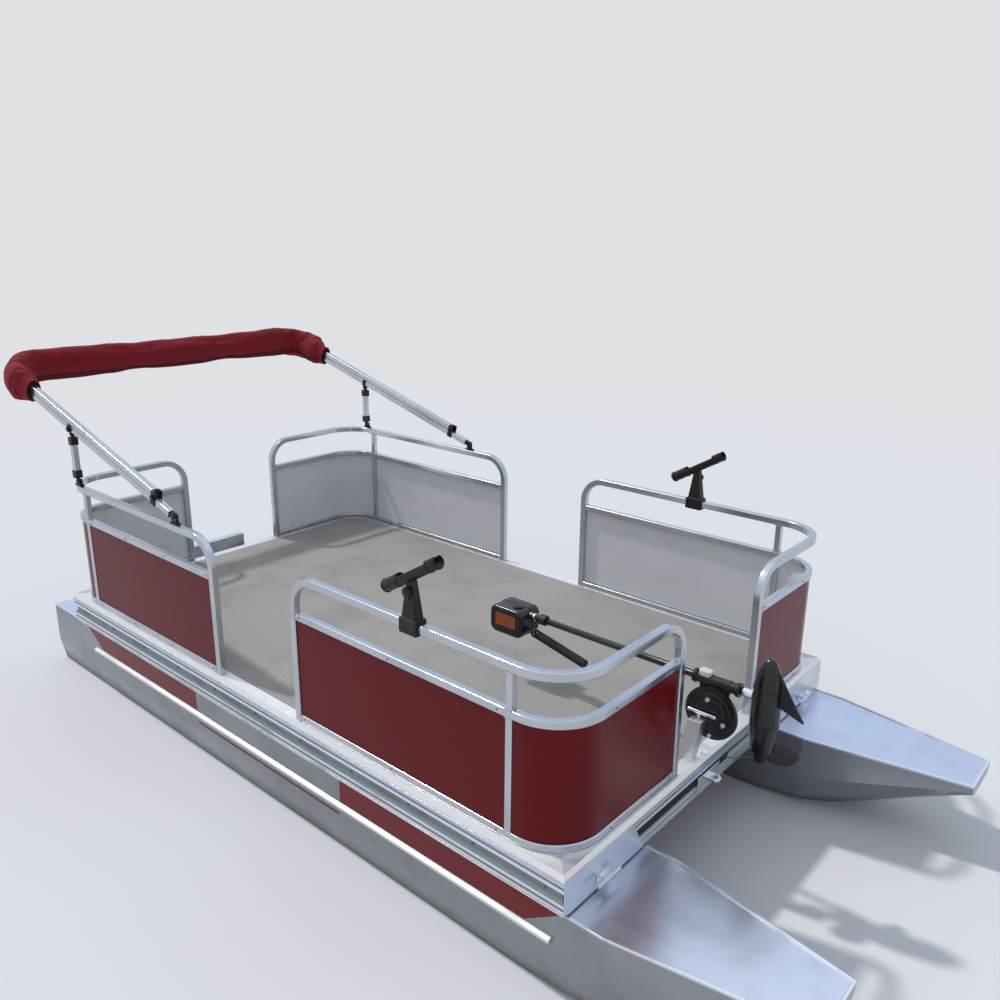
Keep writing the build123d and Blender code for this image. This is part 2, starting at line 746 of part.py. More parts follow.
with BuildPart() as disc:
    face = Plane(origin=(PIVOT[0], DISC_FACE, PIVOT[2]), x_dir=(1, 0, 0), z_dir=(0, -1, 0))
    with BuildSketch(face):
        RegularPolygon(DISC_RADIUS, DISC_SIDES)
    extrude(amount=DISC_THICKNESS)
    with BuildSketch(face.offset(DISC_THICKNESS)):
        RegularPolygon(DISC_RADIUS, DISC_SIDES)
        RegularPolygon(DISC_RADIUS - DISC_RIM, DISC_SIDES, mode=Mode.SUBTRACT)
    extrude(amount=DISC_RIM_RISE)
    with BuildSketch(face):
        RegularPolygon(MOTOR_PIN_RADIUS, PIN_SIDES)
    extrude(amount=-(ARM_THICKNESS + 3))
    add(riser.part, mode=Mode.SUBTRACT)
save(disc, "motor_disc")

with BuildPart() as lever:
    lever_y = DISC_FACE - DISC_THICKNESS - DISC_RIM_RISE - LEVER_RADIUS
    lever_z = DECK_TOP + RISER_HEIGHT + LEVER_RISE
    with BuildSketch(Plane(origin=(PIVOT[0] + LEVER_AHEAD, lever_y, lever_z), z_dir=(-1, 0, 0))):
        RegularPolygon(LEVER_RADIUS, 8)
    extrude(amount=LEVER_LENGTH)
    stud = Plane(origin=(PIVOT[0], DISC_FACE - DISC_THICKNESS, lever_z), z_dir=(0, -1, 0))
    with BuildSketch(stud):
        RegularPolygon(LEVER_RADIUS - 1, 8)
    extrude(amount=LEVER_RADIUS + DISC_RIM_RISE)
save(lever, "motor_lever")

ARM_OUTLINE = [
    # ahead of the tilt pin, above it
    (-24, -36),
    (24, -36),
    (42, -10),
    (64, SHAFT_ABOVE_PIVOT),
    (-64, SHAFT_ABOVE_PIVOT),
    (-42, -10),
]

with BuildPart() as arm:
    plate = Plane(origin=(PIVOT[0], DISC_FACE + 1, PIVOT[2]), x_dir=(1, 0, 0), z_dir=(0, -1, 0))
    with BuildSketch(plate):
        with BuildLine():
            Polyline(ARM_OUTLINE, close=True)
        make_face()
        RegularPolygon(MOTOR_PIN_RADIUS + RUNNING, PIN_SIDES, major_radius=False, mode=Mode.SUBTRACT)
    extrude(amount=-ARM_THICKNESS)
    sleeve = Plane(origin=(SLEEVE_AFT, MOTOR_Y, SHAFT_Z), z_dir=(1, 0, 0))
    with BuildSketch(sleeve):
        RegularPolygon(SLEEVE_RADIUS, ROUND_SIDES)
    extrude(amount=SLEEVE_LENGTH)
    with BuildSketch(sleeve, sleeve.offset(SLEEVE_LENGTH - SLEEVE_RING_LENGTH)):
        RegularPolygon(SLEEVE_RADIUS + SLEEVE_RING, ROUND_SIDES)
    extrude(amount=SLEEVE_RING_LENGTH)
    with BuildSketch(sleeve):
        RegularPolygon(SHAFT_RADIUS + SIDE_PLAY, ROUND_SIDES, major_radius=False)
    extrude(amount=SLEEVE_LENGTH, mode=Mode.SUBTRACT)
save(arm, "motor_arm")

with BuildPart() as knob:
    with BuildSketch(Plane(origin=(PIVOT[0] - KNOB_AFT, MOTOR_Y, SHAFT_Z))) as knob_plan:
        Rectangle(KNOB_LENGTH, KNOB_WIDTH)
        chamfer(knob_plan.vertices(), length=KNOB_EASE)
    extrude(amount=SLEEVE_RADIUS + KNOB_RISE)
    chamfer(knob.faces().sort_by(Axis.Z)[-1].edges(), length=KNOB_EASE / 2)
    with BuildSketch(sleeve):
        RegularPolygon(SLEEVE_RADIUS, ROUND_SIDES)
    extrude(amount=SLEEVE_LENGTH, mode=Mode.SUBTRACT)
save(knob, "motor_knob")

COLLAR_X = SLEEVE_AFT - MOTOR_DROP - COLLAR_LENGTH - 8
with BuildPart() as collar:
    with BuildSketch(Plane(origin=(COLLAR_X, MOTOR_Y, SHAFT_Z), z_dir=(1, 0, 0))):
        RegularPolygon(SLEEVE_RADIUS, ROUND_SIDES)
        RegularPolygon(SHAFT_RADIUS + RUNNING, ROUND_SIDES, major_radius=False, mode=Mode.SUBTRACT)
    extrude(amount=COLLAR_LENGTH)
save(collar, "motor_collar")

POD_CENTRE = (POD_X, MOTOR_Y, SHAFT_Z)
with BuildPart() as shaft:
    with BuildSketch(Plane(origin=(SHAFT_X, MOTOR_Y, SHAFT_Z), z_dir=(1, 0, 0))):
        RegularPolygon(SHAFT_RADIUS, ROUND_SIDES)
    extrude(amount=POD_X - SHAFT_X - POD_RADIUS + POD_SEAT)
    adaptor = Plane(origin=(POD_CENTRE[0] - POD_RADIUS - ADAPTOR_LENGTH, MOTOR_Y, SHAFT_Z), z_dir=(1, 0, 0))
    with BuildSketch(adaptor):
        RegularPolygon(ADAPTOR_RADIUS, ROUND_SIDES)
    extrude(amount=ADAPTOR_LENGTH + POD_SEAT)
save(shaft, "motor_shaft")

POD_PROFILE = [
    # share of the pod's radius, above the shaft's axis
    (0.8, -POD_TAIL),
    (1, -90),
    (0.96, POD_NOSE - 112),
    (0.76, POD_NOSE - 56),
    (0.45, POD_NOSE - 16),
    (0.16, POD_NOSE),
]
SKEG_OUTLINE = [
    # ahead of the pod's axis, above the shaft's axis
    (0, 158),
    (144, -43),
    (50, -14),
    (0, -14),
]
with BuildPart() as pod:
    pod_plane = Plane(origin=POD_CENTRE, x_dir=(1, 0, 0), z_dir=(0, -1, 0))
    for (share, low), (next_share, high) in zip(POD_PROFILE, POD_PROFILE[1:]):
        inset = (share - next_share) * POD_RADIUS * cos(radians(180 / POD_SIDES))
        with BuildSketch(Plane((POD_X, MOTOR_Y, SHAFT_Z + low))):
            RegularPolygon(share * POD_RADIUS, POD_SIDES)
        extrude(amount=high - low, taper=degrees(atan2(inset, high - low)))
    pin_start = Plane(origin=(POD_CENTRE[0], MOTOR_Y, SHAFT_Z - POD_TAIL + PROP_PIN_RADIUS), z_dir=(0, 0, -1))
    with BuildSketch(pin_start):
        RegularPolygon(PROP_PIN_RADIUS, PIN_SIDES)
    extrude(amount=PROP_PIN_LENGTH + PROP_PIN_RADIUS - 1)
    with BuildSketch(adaptor):
        RegularPolygon(ADAPTOR_RADIUS, ROUND_SIDES)
    extrude(amount=ADAPTOR_LENGTH + POD_SEAT, mode=Mode.SUBTRACT)
    with BuildSketch(pod_plane):
        with BuildLine():
            Polyline(SKEG_OUTLINE, close=True)
        make_face()
    extrude(amount=SKEG_THICKNESS / 2, both=True)
save(pod, "motor_pod")

HUB_TOP = SHAFT_Z - POD_TAIL - PROP_CLEARANCE
BLADE_Z = HUB_TOP - PROP_HUB_LENGTH / 2
BLADE_OUTLINE = [
    # out from the hub's axis, across the blade
    (16, -20),
    (60, -37),
    (112, -39),
    (PROP_RADIUS, -22),
    (PROP_RADIUS, 22),
    (112, 39),
    (60, 37),
    (16, 20),
]

with BuildPart() as propeller:
    hub_plane = Plane(origin=(POD_CENTRE[0], MOTOR_Y, HUB_TOP), z_dir=(0, 0, -1))
    with BuildSketch(hub_plane):
        RegularPolygon(PROP_HUB, ROUND_SIDES)
    extrude(amount=PROP_HUB_LENGTH, taper=8)
    for turn in (BLADE_ANGLE, BLADE_ANGLE + 180):
        out = (cos(radians(turn)), sin(radians(turn)), 0)
        lean = sin(radians(BLADE_PITCH))
        normal = (out[1] * lean, -out[0] * lean, cos(radians(BLADE_PITCH)))
        with BuildSketch(Plane(origin=(POD_X, MOTOR_Y, BLADE_Z), x_dir=out, z_dir=normal)):
            with BuildLine():
                Polyline(BLADE_OUTLINE, close=True)
            make_face()
        extrude(amount=BLADE_THICKNESS / 2, both=True)
    with BuildSketch(hub_plane):
        RegularPolygon(PROP_PIN_RADIUS + RUNNING, PIN_SIDES, major_radius=False)
    extrude(amount=PROP_PIN_LENGTH, mode=Mode.SUBTRACT)
save(propeller, "motor_propeller")

TILLER_PIVOT = (SHAFT_X + TILLER_AHEAD, MOTOR_Y, SHAFT_Z - HEAD_DROP - TILLER_DROP)
CHEEK_GAP = TONGUE_WIDTH + 2 * SIDE_PLAY

with BuildPart() as head:
    with Locations((SHAFT_X - HEAD_LENGTH / 2, MOTOR_Y, SHAFT_Z - HEAD_DROP)):
        Box(HEAD_LENGTH, HEAD_WIDTH, HEAD_DEPTH)
    chamfer(head.edges().filter_by(Axis.X), length=HEAD_EASE)
    head_ends = head.faces().sort_by(Axis.X)
    chamfer(head_ends[0].edges() + head_ends[-1].edges(), length=HEAD_END_EASE)
    tongue = Plane(
        origin=(TILLER_PIVOT[0], MOTOR_Y - TONGUE_WIDTH / 2, TILLER_PIVOT[2]),
        x_dir=(-1, 0, 0),
        z_dir=(0, 1, 0),
    )
    neck = TILLER_AHEAD + HEAD_END_EASE
    extrude(eye_sketch(tongue, TONGUE_RADIUS, 0, neck, 2 * TONGUE_RADIUS), amount=TONGUE_WIDTH)
    add(cross_pin(TILLER_PIVOT, TILLER_PIN, CHEEK_GAP + 2 * TILLER_CHEEK))
    add(shaft.part, mode=Mode.SUBTRACT)
save(head, "motor_head")

with BuildPart() as grip:
    slope = radians(GRIP_SLOPE)
    grip_way = (cos(slope), 0, -sin(slope))
    grip_line = Plane(origin=TILLER_PIVOT, z_dir=grip_way)
    with BuildSketch(grip_line.offset(GRIP_START)):
        RegularPolygon(GRIP_RADIUS, 12)
    extrude(amount=GRIP_LENGTH - GRIP_START)
    chamfer(grip.edges().group_by(Axis.X)[-1], length=5)
    for face in (-1, 1):
        y = MOTOR_Y + face * (CHEEK_GAP + TILLER_CHEEK) / 2 - TILLER_CHEEK / 2
        cheek = Plane(origin=(TILLER_PIVOT[0], y, TILLER_PIVOT[2]), x_dir=grip_way, z_dir=(0, 1, 0))
        cheek_eye = eye_sketch(cheek, TONGUE_RADIUS, TILLER_PIN + RUNNING, GRIP_START + 2, 2 * TONGUE_RADIUS)
        extrude(cheek_eye, amount=TILLER_CHEEK)
save(grip, "motor_grip")

# Motor pod under the stern, carried by the last two cross beams
with BuildPart() as pod_box:
    side_plane = Plane(origin=(STERN_X, POD_BOX_WIDTH / 2, 0), x_dir=(1, 0, 0), z_dir=(0, -1, 0))
    with BuildSketch(side_plane):
        with BuildLine():
            Polyline(
                (POD_BOX_FRONT, PONTOON_HEIGHT),
                (TRANSOM_THICKNESS - TRANSOM_AFT, PONTOON_HEIGHT),
                (TRANSOM_THICKNESS - TRANSOM_AFT, TRANSOM_TOP),
                (-TRANSOM_AFT, TRANSOM_TOP),
                (-TRANSOM_AFT, POD_BOX_FLOOR),
                (POD_BOX_FRONT - POD_BOX_RAKE, POD_BOX_FLOOR),
                (POD_BOX_FRONT, PONTOON_HEIGHT - POD_BOX_STEP),
                close=True,
            )
        make_face()
    extrude(amount=POD_BOX_WIDTH)
save(pod_box, "motor_well")

# Rod holders, clamped on the top rails
ROD_SLOPE = radians(ROD_TILT)


def rod_line(side):
    """The plane across a rod holder's tube at the tube's aft end."""
    way = (cos(ROD_SLOPE), 0, sin(ROD_SLOPE))
    centre = Plane(origin=(ROD_HOLDER_X, side * RAIL_LINE, FENCE_TOP + ROD_RISE), z_dir=way)
    return centre.offset(-ROD_TUBE_LENGTH / 2)


with BuildPart() as rod_clamps:
    for side_name, side in SIDES:
        wall = ROD_CLAMP_WALL
        with Locations((ROD_HOLDER_X, side * RAIL_LINE, FENCE_TOP - TUBE / 2)):
            Box(ROD_CLAMP_LENGTH, TUBE + 2 * wall, TUBE + 2 * wall)
            Box(ROD_CLAMP_LENGTH, TUBE, TUBE, mode=Mode.SUBTRACT)
        with BuildSketch(Plane((ROD_HOLDER_X, side * RAIL_LINE, FENCE_TOP + wall))):
            Rectangle(ROD_NECK_LENGTH, TUBE + wall)
        with BuildSketch(Plane((ROD_HOLDER_X, side * RAIL_LINE, FENCE_TOP + ROD_RISE))):
            Rectangle(ROD_TUBE_RADIUS, ROD_TUBE_RADIUS)
        loft(ruled=True)
        with BuildSketch(rod_line(side)):
            RegularPolygon(ROD_TUBE_RADIUS, ROUND_SIDES)
        extrude(amount=ROD_TUBE_LENGTH, mode=Mode.SUBTRACT)
save(rod_clamps, "rod_holder_clamps")

with BuildPart() as rod_tubes:
    for side_name, side in SIDES:
        with BuildSketch(rod_line(side)):
            RegularPolygon(ROD_TUBE_RADIUS, ROUND_SIDES)
            Circle(ROD_BORE_RADIUS, mode=Mode.SUBTRACT)
        extrude(amount=ROD_TUBE_LENGTH)
save(rod_tubes, "rod_holder_tubes")

# Flat plates on the bow face's corners
with BuildPart() as corner_plates:
    for side_name, side in SIDES:
        with BuildSketch(Plane(origin=(BOW_X, 0, 0), x_dir=(0, 1, 0), z_dir=(1, 0, 0))):
            with BuildLine():
                Polyline(
                    (side * BEAM / 2, RUB_TOP),
                    (side * (BEAM / 2 - CORNER_PLATE_TOP), RUB_TOP),
                    (side * (BEAM / 2 - CORNER_PLATE_BOTTOM), RUB_BOTTOM),
                    (side * BEAM / 2, RUB_BOTTOM),
                    close=True,
                )
            make_face()
        extrude(amount=CORNER_PLATE)
save(corner_plates, "bow_corner_plates")

# Mooring cleats on the stern rail and on the bow's corner plates, and the bow eye
with BuildPart() as cleats:
    for end_x, end in [(STERN_X, -1), (BOW_X + CORNER_PLATE, 1)]:
        for side_name, side in SIDES:
            with Locations((end_x, side * CLEAT_Y, RUB_TOP - CLEAT_DROP)):
                with Locations((end * CLEAT_BASE[0] / 2, 0, 0)):
                    Box(*CLEAT_BASE)
                with Locations((end * CLEAT_STEM[0] / 2, 0, 0)):
                    Box(*CLEAT_STEM)
                with Locations((end * (CLEAT_STEM[0] - CLEAT_BASE[0] / 2), 0, 0)):
                    Box(CLEAT_HORN, CLEAT_LENGTH, CLEAT_STEM[2])
save(cleats, "mooring_cleats")

with BuildPart() as bow_eye:
    eye_z = RUB_TOP - EYE_DROP
    with Locations((BOW_X, EYE_Y, eye_z)):
        Box(EYE_PLATE, EYE_PLATE_WIDTH, EYE_PLATE_HEIGHT, align=(Align.MIN, Align.CENTER, Align.CENTER))
    eye_plane = Plane(origin=(BOW_X + EYE_AHEAD, EYE_Y, eye_z - EYE_THICKNESS / 2), x_dir=(-1, 0, 0))
    extrude(eye_sketch(eye_plane, EYE_RADIUS, 0, EYE_AHEAD, 2 * EYE_RADIUS), amount=EYE_THICKNESS)
    with BuildSketch(eye_plane):
        Circle(EYE_BORE)
    extrude(amount=EYE_THICKNESS, mode=Mode.SUBTRACT)
save(bow_eye, "bow_eye")
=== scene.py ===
"""Looks of a small pontoon fishing boat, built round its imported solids.

Metres. +X is forward, +Y is port, +Z is up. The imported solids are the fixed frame. Each class of a
sub-assembly dresses its nodes and adds the details that the solids leave out.
"""

from __future__ import annotations

import json
import logging
from dataclasses import dataclass, field
from enum import Enum
from math import ceil, cos, pi, radians, sin, tan
from typing import Iterable, Sequence

import bmesh
import bpy
from mathutils import Matrix, Vector, noise
from mathutils.bvhtree import BVHTree

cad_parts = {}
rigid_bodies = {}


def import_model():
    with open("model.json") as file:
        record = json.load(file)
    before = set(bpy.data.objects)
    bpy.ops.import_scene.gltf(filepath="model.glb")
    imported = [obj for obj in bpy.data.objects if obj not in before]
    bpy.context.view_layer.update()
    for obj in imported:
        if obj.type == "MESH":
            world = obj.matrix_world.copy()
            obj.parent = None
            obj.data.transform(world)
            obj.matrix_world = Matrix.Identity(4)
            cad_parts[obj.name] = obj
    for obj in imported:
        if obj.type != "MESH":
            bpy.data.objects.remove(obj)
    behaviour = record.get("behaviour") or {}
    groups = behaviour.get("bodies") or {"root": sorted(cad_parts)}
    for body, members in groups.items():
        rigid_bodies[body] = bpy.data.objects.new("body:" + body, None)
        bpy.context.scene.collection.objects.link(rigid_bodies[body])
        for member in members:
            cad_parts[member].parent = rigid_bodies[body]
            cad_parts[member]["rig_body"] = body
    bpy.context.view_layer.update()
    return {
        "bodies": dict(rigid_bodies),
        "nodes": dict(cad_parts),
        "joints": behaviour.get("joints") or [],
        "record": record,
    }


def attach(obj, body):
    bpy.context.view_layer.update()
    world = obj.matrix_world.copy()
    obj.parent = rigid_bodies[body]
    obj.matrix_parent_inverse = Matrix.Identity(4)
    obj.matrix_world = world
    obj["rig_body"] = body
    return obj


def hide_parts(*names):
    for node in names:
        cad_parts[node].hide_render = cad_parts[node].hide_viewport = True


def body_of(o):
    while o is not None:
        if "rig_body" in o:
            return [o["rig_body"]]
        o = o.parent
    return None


LOG = logging.getLogger("pontoon_boat")
PHOTO_WIDTH = 1000
BROAD_FACE_WEIGHT = 80
WATERLINE = 0.118
STERN_X = -1.76596
BOW_X = 1.58904
HALF_BEAM = 1.0
DECK_TOP = 0.620
RAIL_LINE = 0.966
SIDES = {"starboard": -1, "port": 1}
ENDS = {"bow": 1, "stern": -1}
FORWARD = Vector((1, 0, 0))
PORT = Vector((0, 1, 0))
STARBOARD = Vector((0, -1, 0))
UP = Vector((0, 0, 1))

Colour = tuple[float, float, float]
Flat = tuple[float, float]


class Shading(Enum):
    """How a mesh is shaded, by the largest angle in degrees that still looks like one surface."""

    FLAT = 1
    MACHINED = 32
    ROUND = 50
    CLOTH = 180


@dataclass(frozen=True)
class Value:
    """A node socket that carries a number and takes part in Python arithmetic."""

    sheet: "NodeSheet"
    socket: bpy.types.NodeSocket

    def _maths(self, operation: str, *operands: "Value | float") -> "Value":
        """Adds one Math node.

        Args:
            operation: The node's operation, such as ADD.
            operands: Its inputs in order.

        Returns:
            The node's result.
        """
        feeds = dict(enumerate(operands))
        node = self.sheet.node("ShaderNodeMath", {"operation": operation}, feeds)
        return Value(self.sheet, node.outputs[0])

    def __add__(self, other: "Value | float") -> "Value":
        """Sum."""
        return self._maths("ADD", self, other)

    __radd__ = __add__

    def __sub__(self, other: "Value | float") -> "Value":
        """Difference."""
        return self._maths("SUBTRACT", self, other)

    def __rsub__(self, other: float) -> "Value":
        """Difference from a number."""
        return self._maths("SUBTRACT", other, self)

    def __mul__(self, other: "Value | float") -> "Value":
        """Product."""
        return self._maths("MULTIPLY", self, other)

    __rmul__ = __mul__

    def __truediv__(self, other: "Value | float") -> "Value":
        """Quotient."""
        return self._maths("DIVIDE", self, other)

    def above(self, limit: "Value | float") -> "Value":
        """One where this value is over the limit, else zero."""
        return self._maths("GREATER_THAN", self, limit)

    def below(self, limit: "Value | float") -> "Value":
        """One where this value is under the limit, else zero."""
        return self._maths("LESS_THAN", self, limit)

    def size(self) -> "Value":
        """Absolute value."""
        return self._maths("ABSOLUTE", self)

    def sine(self) -> "Value":
        """Sine of this value in radians."""
        return self._maths("SINE", self)

    def larger(self, other: "Value | float") -> "Value":
        """The larger of two values."""
        return self._maths("MAXIMUM", self, other)

    def within(self, low: float, high: float) -> "Value":
        """One between the limits, else zero."""
        return self.above(low) * self.below(high)

    def between(self, low: float, high: float) -> "Value":
        """A smooth rise from zero at low to one at high.

        Args:
            low: Where the rise starts.
            high: Where it ends.

        Returns:
            The eased value.
        """
        inputs = {"Value": self, "From Min": low, "From Max": high}
        node = self.sheet.node("ShaderNodeMapRange", {"interpolation_type": "SMOOTHSTEP"}, inputs)
        return Value(self.sheet, node.outputs["Result"])


class NodeSheet:
    """A node tree with one short call that adds a node."""

    def __init__(self, tree: bpy.types.NodeTree) -> None:
        """Keeps the tree."""
        self.tree = tree

    def node(
        self, kind: str, settings: dict | None = None, inputs: dict | None = None
    ) -> bpy.types.Node:
        """Adds a node.

        Args:
            kind: The node's type.
            settings: Its properties, set before its sockets.
            inputs: Values or links, by socket name or number.

        Returns:
            The new node.
        """
        node = self.tree.nodes.new(kind)
        for name, value in (settings or {}).items():
            setattr(node, name, value)
        for name, value in (inputs or {}).items():
            self.feed(node.inputs[name], value)
        return node

    def feed(self, socket: bpy.types.NodeSocket, value: object) -> None:
        """Links or sets one socket.

        Args:
            socket: The socket that takes the value.
            value: A Value, a socket, a number, or a colour.
        """
        if isinstance(value, Value):
            self.tree.links.new(value.socket, socket)
        elif isinstance(value, bpy.types.NodeSocket):
            self.tree.links.new(value, socket)
        elif isinstance(value, (tuple, list)) and socket.type == "RGBA":
            socket.default_value = (*value[:3], 1.0)
        else:
            socket.default_value = value

    def part(self, vector: bpy.types.NodeSocket, index: int) -> Value:
        """One component of a vector.

        Args:
            vector: The vector's socket.
            index: 0, 1 or 2.

        Returns:
            The component.
        """
        return Value(self, self.node("ShaderNodeSeparateXYZ", None, {0: vector}).outputs[index])

    def mixed(self, factor: "Value | float", first: object, second: object) -> bpy.types.NodeSocket:
        """Mixes two colours.

        Args:
            factor: Share of the second.
            first: Colour or link.
            second: Colour or link.

        Returns:
            The mixed colour.
        """
        node = self.node("ShaderNodeMix", {"data_type": "RGBA"})
        self.feed(node.inputs[0], factor)
        self.feed(node.inputs[6], first)
        self.feed(node.inputs[7], second)
        return node.outputs[2]


class ShaderSheet(NodeSheet):
    """The node tree of one material, with short calls for the nodes that the finishes use."""

    def __init__(self, name: str) -> None:
        """Starts a material with one Principled shader."""
        self.material = bpy.data.materials.new(name)
        self.material.use_nodes = True
        super().__init__(self.material.node_tree)
        self.shader = self.tree.nodes["Principled BSDF"]
        self.coordinates = self.node("ShaderNodeTexCoord").outputs["Object"]
        self.normal = self.node("ShaderNodeNewGeometry").outputs["Normal"]

    def axis(self, index: int) -> Value:
        """Object coordinate along X, Y or Z, in metres."""
        return self.part(self.coordinates, index)

    def stretched(self, scale: Sequence[float]) -> bpy.types.NodeSocket:
        """Object coordinates multiplied by a scale for each axis."""
        feeds = {"Vector": self.coordinates, "Scale": tuple(scale)}
        return self.node("ShaderNodeMapping", None, feeds).outputs[0]

    def noise(
        self, scale: float, detail: float = 3.0, stretch: Sequence[float] = (1, 1, 1)
    ) -> Value:
        """Noise on object coordinates.

        Args:
            scale: Lumps per metre.
            detail: Octaves.
            stretch: A multiplier for each axis.

        Returns:
            The noise, about 0.5 on average.
        """
        inputs = {"Vector": self.stretched(stretch), "Scale": scale, "Detail": detail}
        return Value(self, self.node("ShaderNodeTexNoise", None, inputs).outputs[0])

    def ridges(self, value: Value, pitch: float) -> Value:
        """A wave from 0 to 1 that repeats along a value.

        Args:
            value: The coordinate that it runs along.
            pitch: Metres from ridge to ridge.

        Returns:
            The wave.
        """
        return (value * (2 * pi / pitch)).sine() * 0.5 + 0.5

    def bump(self, height: Value, depth: float, strength: float = 1.0) -> bpy.types.NodeSocket:
        """Turns a height of 0 to 1 into a normal.

        Args:
            height: The height.
            depth: Metres from 0 to 1.
            strength: Share of the bump that shows.

        Returns:
            The normal.
        """
        inputs = {"Height": height, "Distance": depth, "Strength": strength}
        return self.node("ShaderNodeBump", None, inputs).outputs[0]

    def finish(self, **sockets: object) -> bpy.types.Material:
        """Feeds the shader's sockets.

        Args:
            sockets: Values by socket name, with underscores for spaces.

        Returns:
            The finished material.
        """
        for name, value in sockets.items():
            self.feed(self.shader.inputs[name.replace("_", " ")], value)
        return self.material


@dataclass(frozen=True)
class MillAluminium:
    """Bare aluminium as it leaves the mill, with faint drawing lines, dull patches and scuffs."""

    name: str = "mill_aluminium"
    tint: Colour = (0.68, 0.70, 0.74)
    roughness: float = 0.27
    lines: Sequence[float] = (3, 60, 60)
    grain: float = 0.0001

    def material(self) -> bpy.types.Material:
        """Builds the material."""
        sheet = ShaderSheet(self.name)
        patches = sheet.noise(4, 4)
        drawn = sheet.noise(9, 2, self.lines)
        scuffs = sheet.noise(90, 2, (0.4, 1, 1)).between(0.66, 0.74)
        duller = tuple(0.86 * c for c in self.tint)
        rough = self.roughness + (patches - 0.5) * 0.10 + (drawn - 0.5) * 0.05
        return sheet.finish(
            Base_Color=sheet.mixed(patches.between(0.40, 0.70), self.tint, duller),
            Metallic=0.95,
            Roughness=rough + scuffs * 0.03,
            Normal=sheet.bump(drawn, self.grain, 0.15),
        )


@dataclass(frozen=True)
class PontoonSkin:
    """Welded aluminium sheet with a red film band along its outer side, bare in the middle."""

    name: str = "pontoon_skin"
    tint: Colour = (0.34, 0.355, 0.37)
    red: Colour = (0.190, 0.004, 0.008)
    film_heights: Flat = (0.351, 0.474)
    film_start: tuple[float, float, float] = (-1.636, 0.428, 1.507)
    film_end: tuple[float, float, float] = (1.527, 0.426, 1.482)
    bare_run: Flat = (-0.582, 0.468)
    pinstripe_heights: Flat = (0.285, 0.297)
    pinstripe_run: Flat = (-0.580, 0.457)
    outer_face: Flat = (0.974, 0.992)
    strake_heights: Flat = (0.320, 0.356)
    strake_out: float = 0.9855
    top_bend: Flat = (0.452, 0.459)
    top_edge: float = 0.4605

    def band(self, sheet: ShaderSheet) -> Value:
        """The red film: slanted ends, a bare middle, and a pinstripe under the strake there.

        Args:
            sheet: The material's tree.

        Returns:
            One on the film, else zero.
        """
        along, across, height = (sheet.axis(index) for index in range(3))
        start_x, start_z, start_lean = self.film_start
        end_x, end_z, end_lean = self.film_end
        start = along.above(start_x + (start_z - height) * start_lean)
        end = along.below(end_x + (height - end_z) * end_lean)
        bare = along.within(*self.bare_run)
        wide = height.within(*self.film_heights) * start * end * (1 - bare)
        thin = height.within(*self.pinstripe_heights) * along.within(*self.pinstripe_run)
        return (wide + thin) * across.size().within(*self.outer_face)

    def material(self) -> bpy.types.Material:
        """Builds the material."""
        sheet = ShaderSheet(self.name)
        broad = sheet.noise(2.4, 5, (0.6, 1, 1))
        blotches = sheet.noise(6, 2).between(0.42, 0.66)
        fine = sheet.noise(40, 3, (0.3, 1, 1))
        scratches = sheet.noise(46, 1, (0.06, 1, 2.2)).between(0.74, 0.78)
        height = sheet.axis(2)
        stain = 1 - (height + (fine - 0.5) * 0.05).between(WATERLINE + 0.005, WATERLINE + 0.07)
        # Painted sky reflection: the top faces are painted lighter and bluer than the sides, in the
        # plain tone and in the duller patches alike.
        top = height.between(*self.top_bend)
        tint_with_painted_sky = sheet.mixed(top * 0.9, self.tint, (0.74, 0.78, 0.88))
        duller = sheet.mixed(top * 0.9, tuple(0.78 * c for c in self.tint), (0.60, 0.64, 0.74))
        patchy_tone_and_painted_sky = sheet.mixed((broad.between(0.35, 0.7) + blotches * 0.5) / 1.5, tint_with_painted_sky, duller)
        clean = sheet.mixed(scratches * 0.12, patchy_tone_and_painted_sky, (0.90, 0.91, 0.93))
        out = sheet.axis(1).size()
        # Painted highlight: the strake and the top edge are painted pale.
        strake = out.above(self.strake_out) * height.within(*self.strake_heights)
        wear_and_painted_highlight = strake.larger(height.above(self.top_edge))
        clean = sheet.mixed(wear_and_painted_highlight * 0.85, clean, (0.84, 0.85, 0.88))
        metal = sheet.mixed(stain * 0.55, clean, (0.24, 0.24, 0.21))
        film = self.band(sheet)
        return sheet.finish(
            Base_Color=sheet.mixed(film, metal, self.red),
            Metallic=0.93 - film * 0.93,
            Roughness=0.27 + (broad - 0.5) * 0.22 + stain * 0.25 + blotches * 0.05 - film * 0.05,
            Specular_IOR_Level=0.3,
            Normal=sheet.bump(broad, 0.008, 0.22),
        )


